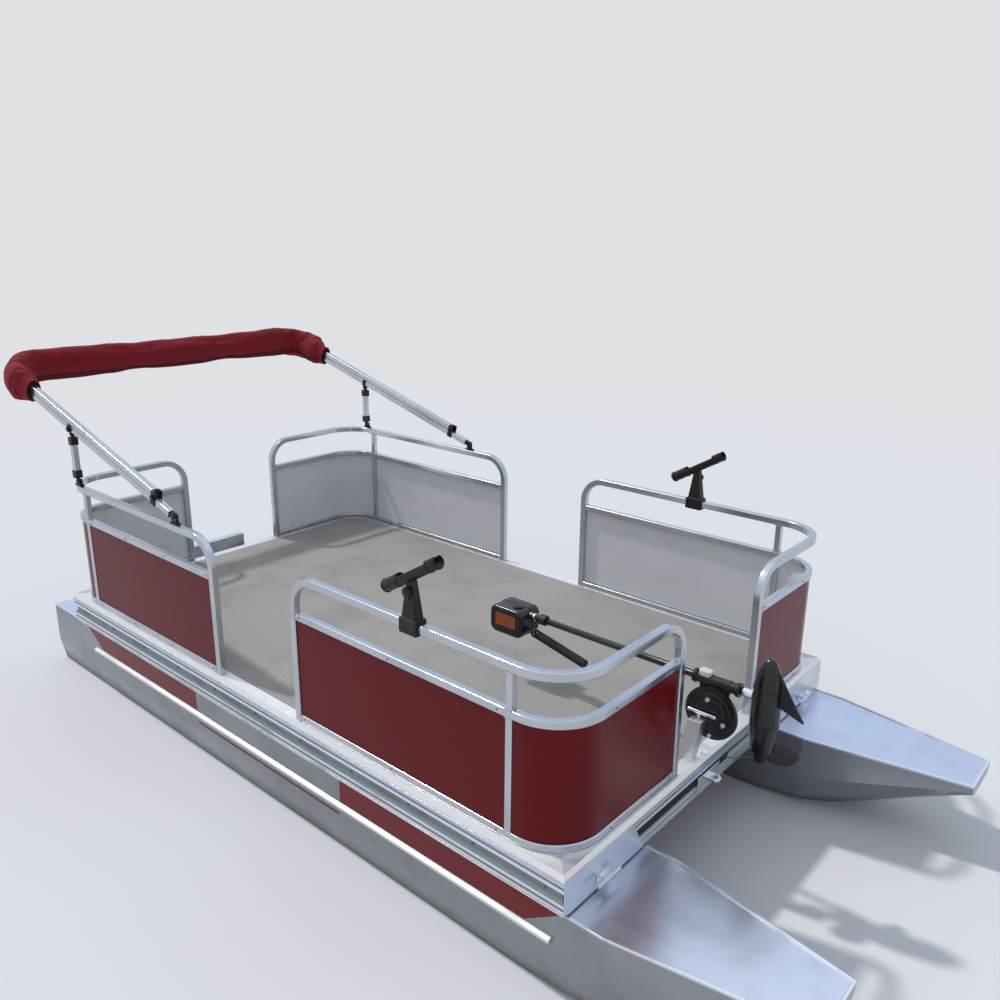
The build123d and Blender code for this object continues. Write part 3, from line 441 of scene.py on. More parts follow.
@dataclass(frozen=True)
class EdgeExtrusion:
    """The deck-edge extrusion, with its light and shade painted in bands by height, and grime in its
    recess.
    """

    name: str = "edge_extrusion"
    # Painted light and shade by height: the dark bands in the grooves and the recess are painted
    # shade, the pale bands on the trim and ridges are painted highlights, and the blue band is a
    # painted sky reflection.
    bands: Sequence[tuple[float, Colour]] = (
        (0.467, (0.84, 0.85, 0.87)),
        (0.4755, (0.20, 0.21, 0.23)),
        (0.4785, (0.80, 0.81, 0.84)),
        (0.4895, (0.22, 0.23, 0.26)),
        (0.4995, (0.82, 0.83, 0.86)),
        (0.5115, (0.24, 0.27, 0.265)),
        (0.5565, (0.86, 0.87, 0.90)),
        (0.5685, (0.22, 0.24, 0.30)),
        (0.5785, (0.62, 0.66, 0.80)),
        (0.5915, (0.26, 0.27, 0.31)),
        (0.5950, (0.88, 0.88, 0.87)),
    )
    recess: Flat = (0.47, 0.556)
    trim_height: float = 0.6

    def material(self) -> bpy.types.Material:
        """Builds the material."""
        sheet = ShaderSheet(self.name)
        height = sheet.axis(2)
        drawn = sheet.noise(14, 2, (0.5, 0.5, 60))
        grime = sheet.noise(11, 5, (0.6, 0.6, 1))
        colour: object = self.bands[0][1]
        for level, tint in self.bands[1:]:
            colour = sheet.mixed(height.above(level), colour, tint)
        dirt = grime.between(0.48, 0.68) * height.within(*self.recess)
        # Grime blotches in the recess, laid over the painted light and shade of the bands.
        worn = sheet.mixed(dirt * 0.45, colour, (0.20, 0.22, 0.20))
        return sheet.finish(
            Base_Color=worn,
            Metallic=0.88 - height.above(self.trim_height) * 0.30,
            Roughness=0.28 + (drawn - 0.5) * 0.14 + dirt * 0.2,
            Normal=sheet.bump(drawn, 0.0002, 0.4),
        )


@dataclass(frozen=True)
class RailingPanel:
    """Sheet that is glossy deep red on its outer face and pale grey on its inner face."""

    name: str = "railing_panel"
    red: Colour = (0.138, 0.0012, 0.0040)
    grey: Colour = (0.70, 0.72, 0.74)

    def material(self) -> bpy.types.Material:
        """Builds the material."""
        sheet = ShaderSheet(self.name)
        flat = sheet.stretched((1, 1, 0))
        feeds = {0: sheet.normal, 1: flat}
        facing = sheet.node("ShaderNodeVectorMath", {"operation": "DOT_PRODUCT"}, feeds)
        outside = Value(sheet, facing.outputs["Value"]).above(0)
        haze = sheet.noise(5, 4)
        scratches = sheet.noise(26, 2, (0.15, 0.15, 2.4)).between(0.68, 0.71)
        dust = sheet.noise(3, 5, (1, 1, 2)).between(0.45, 0.75)
        red = sheet.mixed(dust * 0.10, self.red, (0.17, 0.012, 0.016))
        grey = sheet.mixed(dust * 0.5, self.grey, tuple(0.82 * c for c in self.grey))
        return sheet.finish(
            Base_Color=sheet.mixed(outside, grey, red),
            Roughness=0.36 - outside * 0.16 + (haze - 0.5) * 0.10 + scratches * 0.02,
            Specular_IOR_Level=0.17,
            Normal=sheet.bump(haze, 0.003, 0.12),
        )


@dataclass(frozen=True)
class DeckVinyl:
    """Grey-beige woven deck covering with fine ribs along the boat."""

    name: str = "deck_vinyl"
    tint: Colour = (0.46, 0.445, 0.42)
    pitch: float = 0.016

    def material(self) -> bpy.types.Material:
        """Builds the material."""
        sheet = ShaderSheet(self.name)
        ribs = sheet.ridges(sheet.axis(1), self.pitch)
        cross = sheet.ridges(sheet.axis(0), self.pitch * 0.5)
        mottle = sheet.noise(160, 2)
        dirt = sheet.noise(4, 5).between(0.45, 0.72)
        dark = tuple(0.58 * c for c in self.tint)
        weave = sheet.mixed(ribs * 0.55 + cross * 0.12 + (mottle - 0.5) * 0.7, dark, self.tint)
        return sheet.finish(
            Base_Color=sheet.mixed(dirt * 0.35, weave, tuple(0.7 * c for c in dark)),
            Roughness=0.72 + (mottle - 0.5) * 0.2,
            Normal=sheet.bump(ribs * 0.7 + cross * 0.3, 0.0016, 0.8),
        )


@dataclass(frozen=True)
class BootCloth:
    """Coated woven canvas in deep red, faded in patches, with a fine basket weave."""

    name: str = "boot_cloth"
    red: Colour = (0.265, 0.010, 0.022)
    faded_red: Colour = (0.33, 0.020, 0.034)
    pitch: float = 0.0035

    def material(self) -> bpy.types.Material:
        """Builds the material."""
        sheet = ShaderSheet(self.name)
        along, across, height = (sheet.axis(index) for index in range(3))
        warp = sheet.ridges(across, self.pitch)
        weft = sheet.ridges(height - along * 0.4, self.pitch)
        weave = warp * weft
        faded = sheet.noise(4, 4).between(0.4, 0.75)
        creases = sheet.noise(22, 3, (1, 0.35, 1))
        dark = tuple(0.55 * c for c in self.red)
        tone = sheet.mixed(faded * 0.55, self.red, self.faded_red)
        shaded = (1 - weave) * 0.30 + (1 - creases.between(0.3, 0.5)) * 0.35
        return sheet.finish(
            Base_Color=sheet.mixed(shaded, tone, dark),
            Roughness=0.80 + (creases - 0.5) * 0.2,
            Sheen_Weight=0.05,
            Specular_IOR_Level=0.2,
            Normal=sheet.bump(weave * 0.15 + creases, 0.007, 0.75),
        )


@dataclass(frozen=True)
class Moulding:
    """A moulded or painted finish with a fine grain, light wear and dust."""

    name: str
    tint: Colour
    worn: Colour
    roughness: float = 0.5
    metallic: float = 0.0
    grain: float = 260.0
    gloss: float = 0.3

    def material(self) -> bpy.types.Material:
        """Builds the material."""
        sheet = ShaderSheet(self.name)
        grain = sheet.noise(self.grain, 2)
        wear = sheet.noise(14, 5)
        wear_and_painted_highlight = sheet.noise(60, 3).between(0.62, 0.72)
        share = wear.between(0.45, 0.8) * 0.6 + wear_and_painted_highlight * 0.4
        return sheet.finish(
            Base_Color=sheet.mixed(share, self.tint, self.worn),
            Metallic=self.metallic,
            Roughness=self.roughness + (wear - 0.5) * 0.2 + wear_and_painted_highlight * 0.06,
            Specular_IOR_Level=self.gloss,
            Normal=sheet.bump(grain, 0.0003, 0.4),
        )


@dataclass(frozen=True)
class LayeredBoard:
    """The deck board's edge: plywood layers."""

    name: str = "layered_board"
    layer: float = 0.0036
    dark: Colour = (0.20, 0.125, 0.065)
    light: Colour = (0.36, 0.25, 0.14)

    def material(self) -> bpy.types.Material:
        """Builds the material."""
        sheet = ShaderSheet(self.name)
        layers = sheet.ridges(sheet.axis(2), self.layer)
        grain = sheet.noise(20, 4, (0.3, 1, 4))
        wood = sheet.mixed(layers * 0.6 + grain * 0.4, self.dark, self.light)
        return sheet.finish(Base_Color=wood, Roughness=0.7, Normal=sheet.bump(grain, 0.0005, 0.5))


def rounded(width: float, height: float, radius: float, steps: int = 3) -> list[Flat]:
    """A rectangle with rounded corners, round the origin.

    Args:
        width: Size along x.
        height: Size along y.
        radius: Corner radius.
        steps: Segments of each corner.

    Returns:
        Its corners in order.
    """
    points = []
    for turn, (across, up) in enumerate(((1, 1), (-1, 1), (-1, -1), (1, -1))):
        centre = (across * (width / 2 - radius), up * (height / 2 - radius))
        for step in range(steps + 1):
            angle = radians(90 * turn + 90 * step / steps)
            points.append((centre[0] + radius * cos(angle), centre[1] + radius * sin(angle)))
    return points


def circle(radius: float, sides: int, other: float | None = None) -> list[Flat]:
    """A circle or an oval round the origin.

    Args:
        radius: Half its size along x.
        sides: Number of corners.
        other: Half its size along y, or None for a circle.

    Returns:
        Its corners in order.
    """
    high = radius if other is None else other
    angles = [2 * pi * index / sides for index in range(sides)]
    return [(radius * cos(angle), high * sin(angle)) for angle in angles]


def filleted(
    corners: Sequence[Vector], radii: Sequence[float], step: float = radians(6)
) -> list[Vector]:
    """Rounds the inner corners of a path.

    Args:
        corners: The path's corners, both ends included.
        radii: A bend radius for each inner corner.
        step: Largest turn between two points.

    Returns:
        The points of the rounded path.
    """
    path = [corners[0]]
    for before, corner, after, radius in zip(corners, corners[1:], corners[2:], radii):
        ahead = (corner - before).normalized()
        onward = (after - corner).normalized()
        turn = ahead.angle(onward)
        start = corner - ahead * radius * tan(turn / 2)
        inward = (onward - ahead * ahead.dot(onward)).normalized()
        centre = start + inward * radius
        count = max(2, ceil(turn / step))
        for index in range(count + 1):
            angle = turn * index / count
            path.append(centre + radius * (ahead * sin(angle) - inward * cos(angle)))
    path.append(corners[-1])
    return path


class Shape:
    """Points and faces gathered for one piece before it becomes an object."""

    def __init__(self) -> None:
        """Starts empty."""
        self.points: list[Vector] = []
        self.faces: list[tuple[int, ...]] = []
        self.finishes: list[int] = []

    def add(
        self, points: Iterable[Vector], faces: Iterable[tuple[int, ...]], finish: int = 0
    ) -> "Shape":
        """Adds points and the faces between them.

        Args:
            points: New points.
            faces: Faces that number the new points from 0.
            finish: Number of the faces' finish.

        Returns:
            The shape itself.
        """
        base = len(self.points)
        self.points.extend(points)
        for face in faces:
            self.faces.append(tuple(base + index for index in face))
            self.finishes.append(finish)
        return self

    def rings(
        self, rings: Sequence[Sequence[Vector]], closed: bool = False, finish: int = 0
    ) -> "Shape":
        """Joins rings of points by faces.

        Args:
            rings: Rings with the same number of points.
            closed: Whether the last ring joins the first. If not, both ends are capped.
            finish: Number of the faces' finish.

        Returns:
            The shape itself.
        """
        count, total = len(rings[0]), len(rings)
        faces: list[tuple[int, ...]] = []
        for ring in range(total if closed else total - 1):
            low, high = ring * count, (ring + 1) % total * count
            for index in range(count):
                after = (index + 1) % count
                faces.append((low + index, low + after, high + after, high + index))
        if not closed:
            faces.append(tuple(reversed(range(count))))
            faces.append(tuple((total - 1) * count + index for index in range(count)))
        return self.add([point for ring in rings for point in ring], faces, finish)

    def sweep(
        self,
        path: Sequence[Vector],
        section: Sequence[Flat],
        across: Vector,
        shares: Sequence[float] | None = None,
        closed: bool = False,
        finish: int = 0,
    ) -> "Shape":
        """Carries a section along a path without twist.

        Args:
            path: Points of the path.
            section: Outline, x along across and y square to it.
            across: Direction of the section's x at the start.
            shares: Size of the section at each point, or None for its full size.
            closed: Whether the path closes on itself.
            finish: Number of the faces' finish.

        Returns:
            The shape itself.
        """
        rings: list[list[Vector]] = []
        last: Vector | None = None
        side = across
        count = len(path)
        for index, point in enumerate(path):
            before = path[index - 1] if closed or index else point
            after = path[(index + 1) % count] if closed or index < count - 1 else point
            ahead = (after - before).normalized()
            if last is not None:
                side = last.rotation_difference(ahead) @ side
            side = (side - ahead * side.dot(ahead)).normalized()
            up = ahead.cross(side)
            share = 1.0 if shares is None else shares[index]
            rings.append([point + side * x * share + up * y * share for x, y in section])
            last = ahead
        return self.rings(rings, closed, finish)

    def lathe(
        self,
        origin: Vector,
        axis: Vector,
        profile: Sequence[Flat],
        sides: int = 40,
        finish: int = 0,
    ) -> "Shape":
        """Turns a profile round an axis.

        Args:
            origin: Where the profile's first coordinate is zero.
            axis: Direction of the axis.
            profile: Distance along the axis and radius, in order. It closes in a point where the
                radius is zero.
            sides: Faces round the axis.
            finish: Number of the faces' finish.

        Returns:
            The shape itself.
        """
        ahead = axis.normalized()
        side = ahead.orthogonal().normalized()
        up = ahead.cross(side)
        least = 1e-5
        rings = []
        for along, radius in profile:
            centre, size = origin + ahead * along, max(radius, least)
            rings.append([centre + (side * x + up * y) * size for x, y in circle(1, sides)])
        return self.rings(rings, False, finish)

    def slab(
        self,
        origin: Vector,
        right: Vector,
        up: Vector,
        outline: Sequence[Flat],
        depth: float,
        finish: int = 0,
    ) -> "Shape":
        """A flat plate from an outline.

        Args:
            origin: The outline's origin, in the plate's middle plane.
            right: Direction of the outline's x.
            up: Direction of the outline's y.
            outline: Its corners.
            depth: Thickness.
            finish: Number of the faces' finish.

        Returns:
            The shape itself.
        """
        through = right.cross(up).normalized() * depth / 2
        rings = [
            [origin + right * x + up * y + side for x, y in outline] for side in (-through, through)
        ]
        return self.rings(rings, False, finish)


def mesh_of(obj: bpy.types.Object) -> bpy.types.Mesh:
    """The mesh of an object with its modifiers carried out."""
    graph = bpy.context.evaluated_depsgraph_get()
    return bpy.data.meshes.new_from_object(obj.evaluated_get(graph), depsgraph=graph)


def settle(obj: bpy.types.Object) -> None:
    """Puts the evaluated mesh in the object's place and takes its modifiers off."""
    made = mesh_of(obj)
    made.name = obj.name
    obj.modifiers.clear()
    obj.data = made


def shade(obj: bpy.types.Object, shading: Shading) -> None:
    """Smooths a mesh up to the shading's angle, and keeps its broad faces flat.

    Args:
        obj: The object, with its mesh in its final form.
        shading: How smooth it is shaded.
    """
    mesh = obj.data
    mesh.polygons.foreach_set("use_smooth", [True] * len(mesh.polygons))
    if shading is Shading.CLOTH:
        return
    mesh.set_sharp_from_angle(angle=radians(shading.value))
    if shading is Shading.MACHINED:
        modifier = obj.modifiers.new("flat_faces", "WEIGHTED_NORMAL")
        modifier.keep_sharp = True
        modifier.weight = BROAD_FACE_WEIGHT
        settle(obj)


def linked(name: str, data: bpy.types.ID) -> bpy.types.Object:
    """A new object in the scene, with a mesh, a camera or a light as its data."""
    obj = bpy.data.objects.new(name, data)
    bpy.context.scene.collection.objects.link(obj)
    return obj


@dataclass(frozen=True)
class HeadRow:
    """Small rounded heads in even rows along paths, such as screws, weld beads or stitches."""

    name: str
    spacing: float
    across: float
    along: float
    uneven: float = 0.0
    sides: int = 8
    bands: int = 5
    seed: int = 7

    def tree(self) -> tuple[bpy.types.NodeTree, dict[str, str]]:
        """Builds the geometry tree.

        Returns:
            The tree and its inputs' identifiers by name.
        """
        tree = bpy.data.node_groups.new(self.name, "GeometryNodeTree")
        names: dict[str, str] = {}
        kinds = {
            "Path": "NodeSocketGeometry",
            "Spacing": "NodeSocketFloat",
            "Size": "NodeSocketVector",
            "Unevenness": "NodeSocketFloat",
            "Finish": "NodeSocketMaterial",
        }
        for name, kind in kinds.items():
            socket = tree.interface.new_socket(name=name, in_out="INPUT", socket_type=kind)
            names[name] = socket.identifier
        tree.interface.new_socket(name="Heads", in_out="OUTPUT", socket_type=kinds["Path"])
        sheet = NodeSheet(tree)
        given = sheet.node("NodeGroupInput").outputs
        curve = sheet.node("GeometryNodeMeshToCurve", None, {"Mesh": given["Path"]})
        feeds = {"Curve": curve.outputs[0], "Length": given["Spacing"]}
        points = sheet.node("GeometryNodeCurveToPoints", {"mode": "LENGTH"}, feeds)
        feeds = {"Segments": self.sides, "Rings": self.bands, "Radius": 1.0}
        head = sheet.node("GeometryNodeMeshUVSphere", None, feeds)
        spread = Value(sheet, given["Unevenness"])
        feeds = {"Seed": self.seed}
        varied = sheet.node("FunctionNodeRandomValue", {"data_type": "FLOAT"}, feeds)
        random = Value(sheet, [out for out in varied.outputs if out.enabled][0])
        share = 1 + (random - 0.5) * spread
        feeds = {0: given["Size"], "Scale": share}
        size = sheet.node("ShaderNodeVectorMath", {"operation": "SCALE"}, feeds)
        feeds = {
            "Points": points.outputs["Points"],
            "Instance": head.outputs["Mesh"],
            "Rotation": points.outputs["Rotation"],
            "Scale": size.outputs[0],
        }
        placed = sheet.node("GeometryNodeInstanceOnPoints", None, feeds)
        real = sheet.node("GeometryNodeRealizeInstances", None, {0: placed.outputs[0]})
        smooth = sheet.node("GeometryNodeSetShadeSmooth", None, {0: real.outputs[0]})
        feeds = {"Geometry": smooth.outputs[0], "Material": given["Finish"]}
        done = sheet.node("GeometryNodeSetMaterial", None, feeds)
        sheet.node("NodeGroupOutput", None, {0: done.outputs[0]})
        return tree, names

    def place(
        self, name: str, paths: Sequence[Sequence[Vector]], finish: bpy.types.Material
    ) -> bpy.types.Object:
        """Makes the heads along paths as one plain mesh.

        Args:
            name: The piece's name.
            paths: Points of each path.
            finish: The heads' finish.

        Returns:
            The new object.
        """
        mesh = bpy.data.meshes.new(name)
        points: list[Vector] = []
        edges: list[tuple[int, int]] = []
        for path in paths:
            base = len(points)
            points.extend(path)
            edges.extend((base + index, base + index + 1) for index in range(len(path) - 1))
        mesh.from_pydata(points, edges, [])
        obj = linked(name, mesh)
        tree, names = self.tree()
        modifier = obj.modifiers.new("heads", "NODES")
        modifier.node_group = tree
        modifier[names["Spacing"]] = self.spacing
        modifier[names["Size"]] = (self.across, self.across, self.along)
        modifier[names["Unevenness"]] = self.uneven
        modifier[names["Finish"]] = finish
        settle(obj)
        return obj


@dataclass
class Workshop:
    """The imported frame, the finishes, and the calls that turn a shape into a dressed piece."""

    frame: dict
    finishes: dict[str, bpy.types.Material] = field(default_factory=dict)
    slots: dict[str, str] = field(default_factory=dict)
    sharp: float = 32.0
    level: float = 0.6
    merge: float = 2e-5

    def mix_finishes(self) -> None:
        """Makes every finish, each under its slot's name or a name of its own."""
        black, grey = (0.010, 0.010, 0.011), (0.045, 0.045, 0.047)
        kinds = {
            "pontoon": PontoonSkin(),
            "mill_aluminium": MillAluminium(),
            "tube": MillAluminium("tube_aluminium", (0.56, 0.58, 0.61), 0.20),
            "riser": MillAluminium("riser_aluminium", (0.80, 0.81, 0.83), 0.34),
            "weld": MillAluminium("weld_aluminium", (0.46, 0.47, 0.49), 0.42, (40, 40, 40)),
            "edge": EdgeExtrusion(),
            "board": LayeredBoard(),
            "deck_vinyl": DeckVinyl(),
            "red_panel": RailingPanel(),
            "red_cloth": BootCloth(),
            "piping": Moulding("boot_piping", (0.055, 0.006, 0.010), (0.10, 0.012, 0.016), 0.7),
            "thread": Moulding("boot_thread", (0.42, 0.06, 0.07), (0.30, 0.04, 0.05), 0.8),
            "black_nylon": Moulding("black_nylon", black, grey, 0.42),
            "black_paint": Moulding("black_paint", black, (0.03, 0.031, 0.034), 0.20, gloss=0.45),
            "white_plastic": Moulding(
                "cream_plastic", (0.66, 0.65, 0.58), (0.52, 0.51, 0.45), 0.35
            ),
            "label": Moulding("label_block", (0.36, 0.085, 0.020), (0.27, 0.06, 0.02), 0.45),
            "steel_shaft": Moulding("black_shaft", (0.012, 0.012, 0.014), grey, 0.22, gloss=0.5),
            "bright_steel": Moulding(
                "bright_steel", (0.74, 0.75, 0.77), (0.60, 0.61, 0.63), 0.16, 1.0
            ),
            "chrome": Moulding("chrome", (0.82, 0.83, 0.85), (0.70, 0.71, 0.74), 0.10, 1.0),
            "screw": Moulding("dull_screw", (0.20, 0.20, 0.21), (0.11, 0.11, 0.12), 0.35, 0.9),
            "rubber": Moulding("black_rubber", (0.018, 0.018, 0.019), grey, 0.75),
            # A near-black finish that paints the shade inside the boot's open ends.
            "opening": Moulding("opening_painted_shade", (0.006, 0.004, 0.004), (0.012, 0.008, 0.008), 0.9),
        }
        self.finishes = {name: kind.material() for name, kind in kinds.items()}
        subparts = self.frame["record"]["subparts"]
        self.slots = {part["node"]: part["material_slot"] for part in subparts}

    def settle_piece(
        self, obj: bpy.types.Object, body: str, slot: str, replaces: Sequence[str] = ()
    ) -> bpy.types.Object:
        """Ties a piece to its body and hides the nodes that it stands for.

        Args:
            obj: The piece.
            body: The body that it rides on.
            slot: The record's material slot; not used.
            replaces: Nodes that it stands for.

        Returns:
            The piece.
        """
        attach(obj, body)
        if replaces:
            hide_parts(*replaces)
        LOG.info("made %s: %d faces", obj.name, len(obj.data.polygons))
        return obj

    def piece(
        self,
        name: str,
        shape: Shape,
        finishes: str | Sequence[str],
        body: str,
        slot: str,
        replaces: Sequence[str] = (),
        bevel: float = 0.0,
        shading: Shading = Shading.MACHINED,
        segments: int = 2,
    ) -> bpy.types.Object:
        """Makes a dressed piece from a shape.

        Args:
            name: The piece's name.
            shape: Its points and faces.
            finishes: Its finish or finishes, by the numbers that the shape's faces give.
            body: The body that it rides on.
            slot: The record's material slot.
            replaces: Nodes that it stands for.
            bevel: Width of its eased edges.
            shading: How smooth it is shaded.
            segments: Segments of each eased edge.

        Returns:
            The piece.
        """
        mesh = bpy.data.meshes.new(name)
        mesh.from_pydata(shape.points, [], shape.faces)
        for finish in [finishes] if isinstance(finishes, str) else finishes:
            mesh.materials.append(self.finishes[finish])
        mesh.polygons.foreach_set("material_index", shape.finishes)
        work = bmesh.new()
        work.from_mesh(mesh)
        bmesh.ops.recalc_face_normals(work, faces=work.faces)
        work.to_mesh(mesh)
        work.free()
        obj = linked(name, mesh)
        self.ease(obj, bevel, segments, self.sharp)
        shade(obj, shading)
        return self.settle_piece(obj, body, slot, replaces)

    def ease(self, obj: bpy.types.Object, width: float, segments: int, angle: float) -> None:
        """Rounds the sharp edges of an object.

        Args:
            obj: The object.
            width: Width of the rounding, or zero for none.
            segments: Segments of each rounding.
            angle: Smallest angle in degrees of an edge that is rounded.
        """
        if not width:
            return
        modifier = obj.modifiers.new("eased_edges", "BEVEL")
        modifier.width = width
        modifier.segments = segments
        modifier.limit_method = "ANGLE"
        modifier.angle_limit = radians(angle)
        settle(obj)

    def eased(
        self,
        node: str,
        finish: str,
        width: float,
        name: str = "",
        segments: int = 2,
        angle: float = 34.0,
        shading: Shading = Shading.MACHINED,
    ) -> bpy.types.Object:
        """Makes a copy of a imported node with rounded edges, which stands for it.

        Args:
            node: The node.
            finish: The copy's finish.
            width: Width of its rounding.
            name: The piece's name, or nothing for the node's with a word added.
            segments: Segments of each rounding.
            angle: Smallest angle in degrees of an edge that is rounded.
            shading: How smooth it is shaded.

        Returns:
            The piece.
        """
        source = self.frame["nodes"][node]
        work = bmesh.new()
        work.from_mesh(source.data)
        bmesh.ops.remove_doubles(work, verts=work.verts, dist=self.merge)
        bmesh.ops.dissolve_limit(
            work, angle_limit=radians(self.level), verts=work.verts, edges=work.edges
        )
        mesh = bpy.data.meshes.new(name or f"{node}_eased")
        work.to_mesh(mesh)
        work.free()
        mesh.materials.clear()
        mesh.materials.append(self.finishes[finish])
        obj = linked(mesh.name, mesh)
        self.ease(obj, width, segments, angle)
        shade(obj, shading)
        return self.settle_piece(obj, body_of(source)[0], self.slots[node], [node])

    def heads(
        self,
        row: HeadRow,
        name: str,
        paths: Sequence[Sequence[Vector]],
        finish: str,
        body: str,
        slot: str,
    ) -> bpy.types.Object:
        """Makes a row of heads as a dressed piece.

        Args:
            row: The heads' sizes and spacing.
            name: The piece's name.
            paths: The paths that they follow.
            finish: Their finish.
            body: The body that they ride on.
            slot: The record's material slot.

        Returns:
            The piece.
        """
        return self.settle_piece(row.place(name, paths, self.finishes[finish]), body, slot)

    def dress(self, *nodes: str) -> None:
        """Lays the finish of its slot on each node that keeps its shape."""
        for node in nodes:
            mesh = self.frame["nodes"][node].data
            mesh.materials.clear()
            mesh.materials.append(self.finishes[self.slots[node]])


@dataclass
class Studio:
    """Camera, light and floor."""

    position: Vector = field(default_factory=lambda: Vector((2.929, -2.865, 2.529)))
    yaw: float = radians(130.93)
    pitch: float = radians(16.83)
    roll: float = radians(0.52)
    focal_pixels: float = 888.3
    sensor_width: float = 36.0
    backdrop: Colour = (0.74, 0.755, 0.78)
    sky_band: Colour = (0.62, 0.76, 1.02)
    sky_top: Colour = (1.0, 1.04, 1.12)
    low_light: Colour = (0.38, 0.39, 0.42)
    high_light: Colour = (0.62, 0.66, 0.74)
    sun_energy: float = 1.75
    sun_width: float = radians(3)
    sun_tint: Colour = (1.0, 0.97, 0.93)
    toward_sun: Vector = field(default_factory=lambda: Vector((-0.62, -0.14, 0.85)))
    floor_size: float = 80.0
    floor_colour: Colour = (0.72, 0.735, 0.76)
    floor_fade: Flat = (4.5, 12.0)

    def camera(self) -> None:
        """Places the camera at the photograph's viewpoint."""
        reach = cos(self.pitch)
        ahead = Vector((cos(self.yaw) * reach, sin(self.yaw) * reach, -sin(self.pitch)))
        level = Vector((sin(self.yaw), -cos(self.yaw), 0))
        upright = level.cross(ahead)
        right = level * cos(self.roll) + upright * sin(self.roll)
        up = upright * cos(self.roll) - level * sin(self.roll)
        data = bpy.data.cameras.new("photo_camera")
        data.sensor_width = self.sensor_width
        data.lens = self.focal_pixels / PHOTO_WIDTH * data.sensor_width
        camera = linked("photo_camera", data)
        rotation = Matrix((right, up, -ahead)).transposed()
        camera.matrix_world = Matrix.Translation(self.position) @ rotation.to_4x4()
        bpy.context.scene.camera = camera

    def light(self) -> None:
        """Soft daylight: a sky that grows brighter overhead, and a sun behind the boat."""
        world = bpy.data.worlds.new("studio_world")
        bpy.context.scene.world = world
        world.use_nodes = True
        sheet = NodeSheet(world.node_tree)
        toward = sheet.node("ShaderNodeTexCoord").outputs["Generated"]
        height = sheet.part(toward, 2)
        path = sheet.node("ShaderNodeLightPath").outputs
        seen = Value(sheet, path["Is Camera Ray"]) + Value(sheet, path["Is Glossy Ray"])
        seen = seen + Value(sheet, path["Is Transmission Ray"])
        shown = sheet.mixed(height.between(0.24, 0.42), self.backdrop, self.sky_band)
        shown = sheet.mixed(height.between(0.50, 0.85), shown, self.sky_top)
        lit = sheet.mixed(height.between(0.0, 0.9), self.low_light, self.high_light)
        background = sheet.tree.nodes["Background"]
        sheet.feed(background.inputs["Color"], sheet.mixed(seen, lit, shown))
        background.inputs["Strength"].default_value = 1.0
        sun = bpy.data.lights.new("sun", "SUN")
        sun.energy = self.sun_energy
        sun.angle = self.sun_width
        sun.color = self.sun_tint
        lamp = linked("sun", sun)
        turned = self.toward_sun.normalized().to_track_quat("Z", "Y")
        lamp.rotation_euler = turned.to_euler()

    def floor(self) -> None:
        """A plain pale floor at the waterline that fades into the backdrop far from the boat."""
        half = self.floor_size / 2
        mesh = bpy.data.meshes.new("floor")
        signs = ((-1, -1), (1, -1), (1, 1), (-1, 1))
        corners = [(x * half, y * half, WATERLINE) for x, y in signs]
        mesh.from_pydata(corners, [], [(0, 1, 2, 3)])
        floor = linked("floor", mesh)
        sheet = ShaderSheet("studio_floor")
        feeds = {0: sheet.stretched((1, 1, 0))}
        distance = sheet.node("ShaderNodeVectorMath", {"operation": "LENGTH"}, feeds)
        far = Value(sheet, distance.outputs["Value"]).between(*self.floor_fade)
        sheet.finish(Base_Color=self.floor_colour, Roughness=0.9, Specular_IOR_Level=0.1)
        clear = sheet.node("ShaderNodeBsdfTransparent").outputs[0]
        feeds = {0: far, 1: sheet.shader.outputs[0], 2: clear}
        blend = sheet.node("ShaderNodeMixShader", None, feeds)
        sheet.feed(sheet.tree.nodes["Material Output"].inputs["Surface"], blend.outputs[0])
        mesh.materials.append(sheet.material)

    def build(self) -> None:
        """Makes the whole studio."""
        self.camera()
        self.light()
        self.floor()
        bpy.context.scene.view_settings.view_transform = "Standard"


